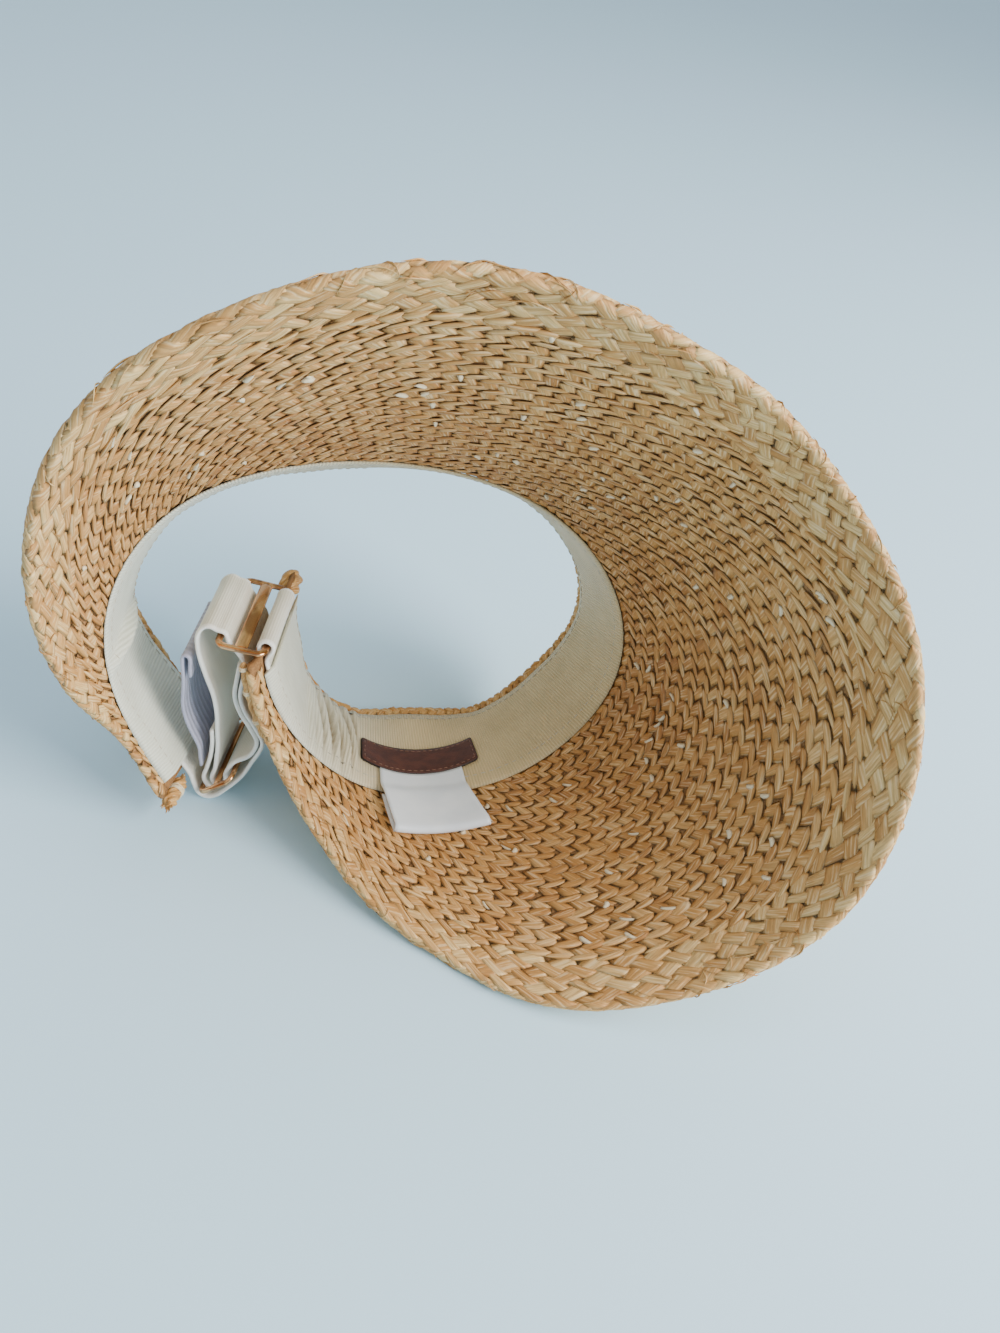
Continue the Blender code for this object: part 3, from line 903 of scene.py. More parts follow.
@dataclass(frozen=True)
class Surface:
    """Brim or band as one wrapped surface: q runs from its free edge, inwards if positive."""

    part: Part
    thick: float

    def share(self, q: Array) -> Array:
        """How near the free edge each point lies, from 0 far off to 1 at the edge."""
        return 1 - np.clip(q / (PALE_REACH if self.part is Part.BRIM else BAND_WIDTH), 0, 1)

    @property
    def turn(self) -> float:
        """Length of the quarter turn from the edge's middle to a face."""
        return math.pi * self.thick / 4

    def place(self, s: Array, q: Array, height: Numbers) -> Array:
        """Finds points over the surface.

        Args:
            s: Distances along the band.
            q: Distances from the free edge.
            height: Distances off the surface.

        Returns:
            The points, as worn.
        """
        s, q, height = np.broadcast_arrays(s, q, height)
        radius = self.thick / 2
        reach = FORM.read("depth", s / HALF) if self.part is Part.BRIM else BAND_WIDTH
        on_edge = np.abs(q) <= self.turn
        angle = np.clip(q / radius, -math.pi / 2, math.pi / 2)
        out = np.where(on_edge, (radius + height) * np.cos(angle), 0.0)
        down = reach - radius - np.maximum(np.abs(q) - self.turn, 0.0) + out
        lift = radius - (radius + height) * np.where(on_edge, np.sin(angle), np.sign(q))
        return FORM.place(self.part, s / HALF, np.maximum(down, 0.0002), lift)


@dataclass(frozen=True)
class Face:
    """The visible face of a sewn piece, as a surface that carries stitches."""

    place: Callable[[Array, Array, Array], Array]

    def share(self, q: Array) -> Array:
        """A middling place for every stitch."""
        return 0.5 + 0 * q


class Weave:
    """Strands gathered into one mesh, each a small closed cushion on a surface."""

    ROWS = 6
    COLUMNS = 4
    # How much strands differ in length, width, turn, place along and across, rise and tint
    SPREAD = np.array([0.09, 0.12, 0.09, 0.20 * MM, 0.18 * MM, 0.15, 0.24])[:, None, None, None]

    def __init__(self, seed: int) -> None:
        """Starts empty.

        Args:
            seed: Fixes the strands' differences.
        """
        self.random = np.random.default_rng(seed)
        self.parts: list[tuple[Array, Array, Array]] = []

    def add(
        self, kind: Strand, surface: Surface | Face, s: Numbers, q: Numbers, side: Side = Side.INNER
    ) -> None:
        """Lays strands of one kind.

        Args:
            kind: Their shape.
            surface: What they lie on.
            s: Their middles' distances along the band.
            q: Their middles' distances from the surface's free edge.
            side: The face that they lie on.
        """
        s, q = (part[:, None, None] for part in np.broadcast_arrays(s, q))
        n = len(s)
        if n == 0:
            return
        draws = self.random.normal(0.0, 1.0, (len(self.SPREAD), n, 1, 1)) * self.SPREAD
        length, width, turn, along, across, rise, tint = draws
        a = np.linspace(-1, 1, self.ROWS)[None, :, None]
        b = np.linspace(-1, 1, self.COLUMNS)[None, None, :]
        taper = (1.0 - kind.pointed * np.abs(a) ** 2.2) ** 0.8 * (1 - 0.12 * a)
        x = a * kind.length / 2 * (1 + length)
        y = b * taper * kind.width / 2 * (1 + width) + kind.bow * (1 - a**2)
        angle = math.radians(kind.slant) + turn * kind.jitter
        ds = x * np.cos(angle) - y * np.sin(angle) + along * kind.jitter
        dq = -x * np.sin(angle) - y * np.cos(angle) + across * kind.jitter
        dome = (1 - b**2) ** 0.6 * (1 - 0.8 * a**4) * kind.rise * (1 + rise)
        edge_lift = kind.tilt * (b + 1) / 2 * (1 - a**2)
        height = dome + edge_lift - kind.tuck * (1 + 0.6 * a**4)
        placed = surface.place(s + ds, side.value * (q + dq), height)
        seed = self.random.uniform(0, 1, (n, 1, 1))
        fibre = stacked(x / MM, b * kind.width / 2 / MM, seed * 40)
        # Nearness to the strand's edges and tips, where the straw's finish paints shade
        edge = np.maximum(np.abs(b), np.abs(a) ** 4) * kind.painted_edge_shade
        shade = stacked(np.clip(0.5 + tint, 0, 1), surface.share(q + dq), edge)
        self.parts.append(tuple(values.reshape(-1, 3) for values in (placed, fibre, shade)))

    def build(self, name: str, finish: Finish, nodes: Sequence[str] = ()) -> bpy.types.Object:
        """Makes the piece.

        Args:
            name: Its name.
            finish: What the strands are made of.
            nodes: The CAD nodes that it stands for.

        Returns:
            The object.
        """
        points, fibre, shade = (np.vstack(values) for values in zip(*self.parts))
        size = self.ROWS * self.COLUMNS
        index = np.arange(size).reshape(self.ROWS, self.COLUMNS)
        corners = [index[:-1, :-1], index[1:, :-1], index[1:, 1:], index[:-1, 1:]]
        quads = np.stack(corners, -1).reshape(-1, 4)
        base = np.concatenate([index[0, :], index[1:, -1], index[-1, -2::-1], index[-2:0:-1, 0]])
        starts = np.arange(len(points) // size)[:, None, None] * size
        faces = (starts + quads).reshape(-1, 4).tolist() + (starts[:, 0] + base).tolist()
        return add_piece(name, points, finish, fibre, shade, nodes, faces)


# The straw


@dataclass
class StrawBody:
    """The brim with its wide rim braid, and the crown band."""

    pitch: float = 0.0042
    row: float = 0.0062
    weave: float = 0.0040
    rim_seam: float = 0.0012
    ridge_step: float = 0.0043
    edge_step: float = 0.0045
    sunk: float = 0.0002
    leaf: Strand = Strand(0.0068, 0.0030, 31, 0.00046, 0.0, 0.00038, 0.66, 0.0002)
    block: Strand = Strand(0.0047, 0.0043, -56, 0.00030, -0.00005, 0.00016, 0.02)
    cell: Strand = Strand(0.0058, 0.0045, 45, 0.00032, 0.0, 0.00010, 0.03)
    counter: Strand = Strand(0.0058, 0.0045, -45, 0.00032, 0.0, 0.00010, 0.03)
    rope: Strand = Strand(0.0064, 0.0028, 24, 0.0010, 0.0002, 0.0004, 0.8)
    start: float = -0.2485
    end: float = STRAW_END * HALF - 0.001

    def __post_init__(self) -> None:
        """Names the surfaces that carry the strands, and the places of the sections along them."""
        self.brim = Surface(Part.BRIM, STRAW)
        self.rim = Surface(Part.BRIM, RIM_THICK)
        self.band = Surface(Part.BAND, STRAW)
        self.sections = np.linspace(self.start - 0.001, self.end + 0.001, 240)

    def ground(self, name: str, surface: Surface, near: Array, far: Array, node: str) -> None:
        """Adds the straw sheet under the strands.

        Args:
            name: The piece's name.
            surface: What it fills.
            near: Its smallest distance from the free edge at each section.
            far: Its largest distance.
            node: The CAD node that it stands for.
        """
        s = self.sections[:, None]
        q = near[:, None] + (far - near)[:, None] * np.linspace(0.0, 1.0, 16)
        q = np.hstack([q[:, :0:-1] if near[0] == 0 else q[:, ::-1], -q])
        points = surface.place(s, q, -self.sunk)
        add_piece(name, points, Finish.GROUND, stacked(s / MM, q / MM, 0.0), None, [node])

    def rows(self, weave: Weave, surface: Surface, first: Array, last: Array, side: Side) -> None:
        """Lays sewn rows of plait parallel to the free edge.

        Args:
            weave: Takes the strands.
            surface: What they lie on.
            first: The first row's distance from the free edge, at even places along the band.
            last: The largest distance that the straw reaches, at the same places.
            side: The face.
        """
        s = np.arange(self.start + self.pitch / 2, self.end, self.pitch)
        places = np.linspace(self.start, self.end, len(last))
        for k in range(round(BRIM_DEPTH / self.row) + 4):
            shift = self.pitch * ((k * 0.37) % 1.0)
            for kind, across, ahead in ((self.block, 0.20, 0.45), (self.leaf, 0.70, 0.0)):
                at = s + shift + ahead * self.pitch
                q = np.interp(at, places, first) + (k + across) * self.row + surface.turn
                keep = (q < np.interp(at, places, last) + surface.turn) & (at < self.end)
                weave.add(kind, surface, at[keep], q[keep], side)

    def basket(self, weave: Weave, width: Array) -> None:
        """Lays the diagonal basket plait round the rim.

        Args:
            weave: Takes the strands.
            width: How far it reaches from the edge, at each section.
        """
        step = self.weave * math.sqrt(0.5)
        m = np.arange(int(self.start / step), int(self.end / step))
        for k in range(-12, 13):
            for parity, kind in ((0, self.cell), (1, self.counter)):
                s = m[(m % 2 == parity) & ((m + k) % 2 == 0)] * step
                reach = np.interp(s, self.sections, width) + self.rim.turn
                s = s[(abs(k) * step < reach) & (s > self.start)]
                weave.add(kind, self.rim, s, abs(k) * step, Side.INNER if k >= 0 else Side.OUTER)

    def build(self) -> None:
        """Makes every straw piece."""
        s = self.sections
        depth, rim = FORM.read("depth", s / HALF), FORM.read("rim_width", s / HALF)
        turn = self.brim.turn - STRAW / 2
        self.ground("brim_ground", self.brim, rim + turn, depth + turn, "brim")
        self.ground("rim_ground", self.rim, 0 * s, rim + self.rim.turn - RIM_THICK / 2, "rim_braid")
        self.ground("band_ground", self.band, 0 * s, 0 * s + BAND_WIDTH + turn, "crown_band")
        for side, name, seed in ((Side.INNER, "brim_plait_inner", 11), (Side.OUTER, "brim_plait_outer", 12)):
            weave = Weave(seed)
            self.rows(weave, self.brim, rim + self.rim_seam, depth, side)
            weave.build(name, Finish.STRAW, ["brim"])
        weave = Weave(13)
        self.basket(weave, rim - 0.001)
        at = np.arange(self.start + 0.004, self.end - 0.004, self.ridge_step)
        for side in Side:
            weave.add(self.rope, self.rim, at, np.interp(at, s, rim) + self.rim.turn + 0.0004, side)
        weave.build("rim_plait", Finish.RIM, ["rim_braid"])
        weave = Weave(14)
        for side, reach in ((Side.OUTER, BAND_WIDTH), (Side.INNER, CROWN_MARGIN + 0.004)):
            self.rows(weave, self.band, 0 * s, 0 * s + reach, side)
        at = np.arange(self.start + 0.004, self.end - 0.006, self.edge_step)
        for side in Side:
            weave.add(self.rope, self.band, at, 0.0012, side)
        weave.build("band_plait", Finish.CROWN, ["crown_band"])


# The lining and what is sewn to it


@dataclass
class Sweatband:
    """The ribbed lining with its pleats, its tuck and its stitch lines."""

    height: float = BAND_WIDTH - CROWN_MARGIN
    columns: int = 900
    rows: int = 14
    wave: float = 0.00018
    gather: float = 0.0044
    gather_height: float = 0.0026
    hem: float = 0.10
    hem_drop: float = 0.0009
    round_edge: float = 0.0004
    stitch_step: float = 0.0034
    stitch_levels: tuple[float, float] = (0.13, 0.94)
    stitch: Strand = Strand(0.0024, 0.0005, 0, 0.00028, 0.0001, 0.0, 0.5, jitter=0.3)

    def gathers(self, along: Array, share: Array) -> tuple[Array, Array]:
        """Finds the small slanting folds beside the label.

        Args:
            along: Places along the band.
            share: Heights as shares of the lining's width.

        Returns:
            How far the cloth stands up there, and how deep it lies in a crease, from 0 to 1, which the
            lining's finish darkens as painted shade.
        """
        span = step_up(along, 0.727, 0.738) * (1 - step_up(along, 0.80, 0.83))
        span = span * (0.15 + 0.85 * step_up(share, 0.05, 0.35)) * (1 - 0.6 * step_up(share, 0.6, 1.0))
        fold = ((along * HALF - 0.006 * share) / self.gather) % 1.0
        crease = np.exp(-(((np.abs(fold - 0.5) - 0.5) / 0.17) ** 2))
        return self.gather_height * span * (1 - crease), span * crease

    def lift(self, along: Array, share: Array) -> Array:
        """Finds the distance of the lining's back from the straw, with its soft waves.

        Args:
            along: Places along the band.
            share: Heights as shares of the lining's width.

        Returns:
            The distances.
        """
        s = along * HALF
        soft = np.sin(s * 2 * math.pi / 0.031 + 4 * share) * np.sin(s * 2 * math.pi / 0.083)
        waves = self.wave * (1 + soft) * (0.3 + share)
        return lining_lift(along, share) + waves + self.gathers(along, share)[0]

    def on_face(self, s: Array, q: Array, height: Array) -> Array:
        """Points by distances along the band, above the seam and off the visible face."""
        lift = self.lift(s / HALF, q / self.height) + LINING
        return FORM.place(Part.BAND, s / HALF, q, -(lift + height))

    def build(self) -> None:
        """Makes the lining and its stitches."""
        along = np.linspace(LINING_FROM, LINING_TO, self.columns)[:, None]
        share = (np.linspace(0.0, 1.0, self.rows) ** 1.25)[None, :]
        up = GAP + (self.height - GAP) * share
        lift = self.lift(along, share)
        edge = self.round_edge * (np.abs(2 * share - 1) > 0.99)
        hem = 1 - step_up(share, 0.0, self.hem)
        outer = (lift + LINING) * (1 - hem) + LINING * hem - edge
        front = FORM.place(Part.BAND, along, up - self.hem_drop * hem, -outer)
        back = FORM.place(Part.BAND, along, up, -((lift + edge) * (1 - hem) + GAP * hem))
        # The third number is the crease depth, which the lining's finish darkens as painted shade
        flat = stacked(along * HALF / MM, up / MM, self.gathers(along, share)[1])
        turned = (part[:, ::-1] for part in (front, back, flat))
        lining = add_slab("lining", *turned, Finish.LINING, "sweatband")
        length = float(distances(front[:, self.rows // 2])[-1])
        weave = Weave(21)
        at = np.arange(LINING_FROM * HALF + 0.004, LINING_TO * HALF - 0.003, self.stitch_step)
        for level in self.stitch_levels:
            weave.add(self.stitch, Face(self.on_face), at, level * self.height)
        stitches = weave.build("lining_stitches", Finish.CREAM_THREAD)


@dataclass
class Label:
    """The bowed leather label with its stitched border, left bare."""

    length: float = 0.050
    height: float = 0.0125
    thick: float = 0.0010
    along: float = 0.626
    up: float = 0.0145
    bow: float = 0.0045
    corner: float = 0.0012
    inset: float = 0.0013
    clear: float = 0.0002
    stitch_step: float = 0.0025
    stitch: Strand = Strand(0.0017, 0.00042, 0, 0.00026, 0.00005, 0.0, 0.4, jitter=0.2)

    def middle(self, offset: Array) -> Array:
        """Height of the middle line above the seam."""
        return self.up + self.bow * (2 * offset / self.length) ** 2

    def place(self, s: Array, q: Array, height: Array) -> Array:
        """Finds points of the label.

        Args:
            s: Distances along from its middle.
            q: Distances up from its middle line.
            height: Distances off its back.

        Returns:
            The points, as worn.
        """
        along = self.along + s / HALF
        lift = lining_lift(along, 0 * s) + LINING + GAP + self.clear
        return FORM.place(Part.BAND, along, self.middle(s) + q, -(lift + height))

    def on_face(self, s: Array, q: Array, height: Array) -> Array:
        """Points by distances along, up and off the label's face."""
        return self.place(s, q, self.thick - 0.00012 + height)

    def build(self) -> None:
        """Makes the label and its stitches."""
        s, q = np.meshgrid(np.linspace(-1, 1, 49), np.linspace(-1, 1, 15), indexing="ij")
        x, y = s * self.length / 2, q * self.height / 2
        past_x = np.maximum(np.abs(x) - (self.length / 2 - self.corner), 0)
        past_y = np.maximum(np.abs(y) - (self.height / 2 - self.corner), 0)
        beyond = 1 - 1 / np.maximum(np.hypot(past_x, past_y) / self.corner, 1.0)
        x, y = x - np.sign(x) * past_x * beyond, y - np.sign(y) * past_y * beyond
        edge = np.maximum(np.abs(s) ** 12, np.abs(q) ** 4)
        groove = 0.00016 * np.exp(-(((np.abs(y) - self.height / 2 + self.inset) / 0.0004) ** 2))
        front = self.place(x, y, self.thick - 0.00035 * edge**3 - groove)
        flat = stacked(x / MM, y / MM, edge)
        add_slab("label", front, self.place(x, y, 0 * x), flat, Finish.LEATHER, "leather_label")
        weave = Weave(31)
        face = Face(self.on_face)
        top, end = self.height / 2 - self.inset, self.length / 2 - self.inset
        run = np.arange(-self.length / 2 + 0.002, self.length / 2 - 0.0015, self.stitch_step)
        for level in (-top, top):
            weave.add(self.stitch, face, run, level)
        upright = replace(self.stitch, slant=90)
        rise = np.arange(-top + 0.0012, top, self.stitch_step)
        for at in (-end, end):
            weave.add(upright, face, at, rise)
        weave.build("label_stitches", Finish.BROWN_THREAD)


@dataclass
class CareTag:
    """A strip of satin that hangs from the label, folds and comes back behind itself, left bare."""

    label: Label
    width: float = 0.034
    drop: float = 0.020
    thick: float = 0.0006
    opening: float = 0.0020
    shift: float = -0.0050
    stand: float = 0.0024
    gap_in_fold: float = 0.0005
    columns: int = 25

    def build(self) -> None:
        """Makes the tag."""
        offset = np.linspace(-self.width / 2, self.width / 2, self.columns)
        top = self.label.middle(offset) - self.label.height / 2 - 0.0001
        face = GAP + LINING + GAP + 0.0005
        rows = []
        for share in (0.0, 0.35, 0.7, 1.0):
            along = self.label.along + offset / HALF
            up = top * (1 - share) + 0.002 * share
            rows.append(FORM.place(Part.BAND, along, up, -(face + 0.0004 * share)))
        layer = self.gap_in_fold + self.opening / 2
        turns = [(0.10, 1, 0), (0.35, 1.15, 0), (0.65, 1.1, 0), (0.9, 1, 0)]
        turns += [(0.9, math.cos(a), math.sin(a)) for a in np.radians([36, 72, 108, 144])]
        turns += [(0.9, -1, 0), (0.65, -0.9, 0), (0.35, -0.7, 0), (0.14, -0.5, 0)]
        for share, side, ahead in turns:
            along = self.label.along + (offset + self.shift * share) / HALF
            curl = 0.0006 * share * (2 * offset / self.width) ** 2
            lift = GAP + self.stand + layer * side + curl
            rows.append(FORM.place(Part.BRIM, along, self.drop * share + layer * ahead, -lift))
        grid = np.array(rows)
        count = len(resample(grid[:, 0], 0.0012))
        lines = [spaced(resample(column, 0.0004), count) for column in grid.transpose(1, 0, 2)]
        fine = np.stack(lines, axis=1)
        normal = unit(np.cross(unit(np.gradient(fine, axis=0)), unit(np.gradient(fine, axis=1))))
        length = float(distances(fine[:, self.columns // 2])[-1])
        flat = stacked(np.linspace(0, length, count)[:, None] / MM, offset / MM, 0.0)
        half = normal * self.thick / 2
        tag = add_slab("tag", fine + half, fine - half, flat, Finish.SATIN, "care_tag")


# Straps and sliders


class StrapPlane:
    """The plane of the straps' near edges, between the two ends of the band."""

    def __init__(self) -> None:
        """Finds the plane from the form."""
        self.start = FORM.place(Part.BAND, -1.0, STRAP_UP, -(GAP + STRAP_THICK / 2))
        end = FORM.place(Part.BAND, 1.0, TAB_UP, 0.0)
        self.width = FORM.read("band", 1.0)
        self.span = float(np.linalg.norm(end - self.start))
        self.up = (end - self.start) / self.span
        self.out = unit(np.cross(self.up, self.width))
        self.square_up = np.cross(self.width, self.out)
        self.upper_width = unit(self.width + UPPER_PULL[0] * self.square_up + UPPER_PULL[1] * self.out)

    def points(self, turns: Sequence[tuple[float, float]]) -> Array:
        """Points of the plane from shares of the span."""
        return self.start + np.array(turns) @ np.array([self.up, self.out]) * self.span

    def widths(self, points: Array) -> Array:
        """Finds the straps' width direction: straight below, pulled with the upper slider above.

        Args:
            points: Points of a strap's near edge.

        Returns:
            A direction at each.
        """
        height = (points - self.start) @ self.up / self.span
        share = step_up(height, 0.45, 0.85)[:, None]
        return unit(self.width * (1 - share) + self.upper_width * share)

    def around(self, slider: Triple, place: int, angles: Sequence[float]) -> list[tuple[float, float]]:
        """Turns of a strap round a slider's bar.

        Args:
            slider: The slider's place and direction.
            place: -1, 0 or 1 along the slider.
            angles: Directions from the bar's middle, in degrees.

        Returns:
            Shares of the span.
        """
        up, out, degrees = slider
        reach = place * (SLIDER_LENGTH - SLIDER_BAR) / 2 / self.span
        up += reach * math.cos(math.radians(degrees))
        out += reach * math.sin(math.radians(degrees))
        radius = (math.hypot(SLIDER_BAR, SLIDER_THICK) / 2 + GAP + STRAP_THICK / 2) / self.span
        return [(up + radius * math.cos(a), out + radius * math.sin(a)) for a in np.radians(angles)]

    def beside(self, points: Array, distance: float) -> Array:
        """The same route at a distance to its inner side."""
        ahead = unit(np.gradient(points, axis=0))
        return points + unit(np.cross(self.width, ahead)) * distance


@dataclass
class Straps:
    """The adjuster strap, its tail, the elastic and the tab at the right end."""

    plane: StrapPlane
    step: float = 0.0011
    selvedge: float = 0.0015
    elastic_thick: float = 0.0012

    def strap(
        self,
        name: str,
        free: Array,
        widths: Array,
        thick: float = STRAP_THICK,
        finish: Finish = Finish.WEBBING,
        sewn: tuple[float, float, float, int] | None = None,
    ) -> None:
        """Adds one strap with raised edge lines.

        Args:
            name: The CAD node that it stands for.
            free: Points of its near edge away from the band.
            widths: Its width direction at each.
            thick: Its thickness.
            finish: What it is woven of.
            sewn: Where the part sewn inside the band starts and ends, its height and its points.
        """
        if sewn:
            along = np.linspace(sewn[0], sewn[1], sewn[3])
            free = np.vstack([FORM.place(Part.BAND, along, sewn[2], -(GAP + STRAP_THICK / 2)), free])
            widths = np.vstack([FORM.read("band", along), widths])
        route = resample(free, self.step, widths)
        middle, width = route[:, :3], unit(route[:, 3:])
        normal = unit(np.cross(width, unit(np.gradient(middle, axis=0))))
        w, e = STRAP_WIDTH, self.selvedge
        across = np.array([0.0002, 0.5 * e, e, 1.25 * e, w * 0.2, w * 0.35, w * 0.5])
        across = np.concatenate([across, w - across[-2::-1]])
        level = np.array([0.62, 1.0, 1.0, 0.84, 0.84, 0.86, 0.88])
        level = np.concatenate([level, level[-2::-1]]) * thick / 2
        section_x = np.concatenate([[0.0], across, [w], across[::-1]])
        section_y = np.concatenate([[0.0], level, [0.0], -level[::-1]])
        points = tube(middle, width, normal, section_x, section_y)
        length = distances(middle)
        fibre = stacked(length[:, None] / MM, section_x / MM, 0.0)
        piece = add_piece(f"{name}_cloth", points, finish, fibre, None, [name])

    def build(self) -> None:
        """Makes the four straps."""
        plane = self.plane
        inner = resample(plane.points(INNER_ROUTE), 0.0066)
        outer = plane.beside(inner, STRAP_THICK + 2 * GAP)
        rising = outer[(outer - plane.start) @ plane.up > 0.33 * plane.span]
        over = plane.points(plane.around(UPPER_SLIDER, -1, (-75, -35, 5, 40)) + FALLING_ROUTE)
        fold = plane.points(plane.around(LOWER_SLIDER, 0, (110, 160, 210, 255, 300)))
        free = np.vstack([plane.points(UNDER_ROUTE), rising, over, fold, inner])
        under_lining = (-1.0 + STRAP_ON_BAND / HALF, -1.0, STRAP_UP, 6)
        self.strap("adjuster_strap", free, plane.widths(free), sewn=under_lining)
        tail = plane.points(plane.around(LOWER_SLIDER, -1, (-95, -55, -10)) + TAIL_ROUTE)
        self.strap("tail_strap", tail, plane.widths(tail))
        elastic = plane.points(ELASTIC_ROUTE)
        self.strap("elastic_strap", elastic, plane.widths(elastic), self.elastic_thick, Finish.ELASTIC)
        loop = plane.points(plane.around(UPPER_SLIDER, 1, (-70, -25, 20, 65, 105, 140)))
        under_lining = (STRAW_END - STRAP_ON_BAND / HALF, STRAW_END - 2 * STRAP_THICK / HALF, TAB_UP, 5)
        self.strap("end_tab", loop, np.tile(plane.upper_width, (len(loop), 1)), sewn=under_lining)


@dataclass
class Slider:
    """A polished slider: a rounded frame with a middle bar."""

    name: str
    plane: StrapPlane
    place: Triple
    width: Array
    middle: float = SLIDER_BAR
    corner: float = 0.0028

    @staticmethod
    def squared(values: Array) -> Array:
        """Turns a circle's sines or cosines into those of a slightly squared one."""
        return np.sign(values) * np.abs(values) ** 0.88

    def frame(self) -> tuple[Array, Array]:
        """Finds the frame's middle line and its outward directions, in the slider's own plane.

        Returns:
            Points and directions, two numbers each.
        """
        half = (SLIDER_LENGTH - SLIDER_BAR) / 2
        low = -(SLIDER_CLEAR + SLIDER_BAR / 2)
        high = STRAP_WIDTH + SLIDER_CLEAR + SLIDER_BAR / 2
        points, outs = [], []
        for x, y, turn in ((half, high, 0), (-half, high, 90), (-half, low, 180), (half, low, 270)):
            centre = np.array([x - math.copysign(self.corner, x), y - math.copysign(self.corner, y)])
            for angle in np.radians(np.linspace(turn, turn + 90, 9)):
                outs.append(np.array([math.cos(angle), math.sin(angle)]))
                points.append(centre + outs[-1] * self.corner)
        return np.array(points), np.array(outs)

    def build(self) -> None:
        """Makes the slider."""
        up, out, degrees = self.place
        angle = math.radians(degrees)
        ahead = math.cos(angle) * self.plane.square_up + math.sin(angle) * self.plane.out
        across = unit(ahead - (ahead @ self.width) * self.width)
        face = np.cross(across, self.width)
        origin = self.plane.points([(up, out)])[0]
        line, outs = (values @ np.array([across, self.width]) for values in self.frame())
        turn = round_turns(16)
        wide = self.squared(np.cos(turn)) * SLIDER_BAR / 2
        high = self.squared(np.sin(turn)) * SLIDER_THICK / 2
        frame = tube(origin + line, outs, face, wide, high)
        past = SLIDER_CLEAR + SLIDER_BAR * 0.5
        line = np.linspace(-past, STRAP_WIDTH + past, 24)[:, None] * self.width
        bar = tube(origin + line, across, face, wide * self.middle / SLIDER_BAR, high * 0.96)
        faces = loft_faces(*frame.shape[:2], closed=True).tolist()
        faces += [[len(outs) * len(turn) + v for v in corners] for corners in capped_faces(*bar.shape[:2])]
        points = np.vstack([frame.reshape(-1, 3), bar.reshape(-1, 3)])
        local = (points - origin) @ np.stack([across, self.width, face], 1) / MM
        add_piece(f"{self.name}_metal", points, Finish.METAL, local, None, [self.name], faces)


# Worked ends


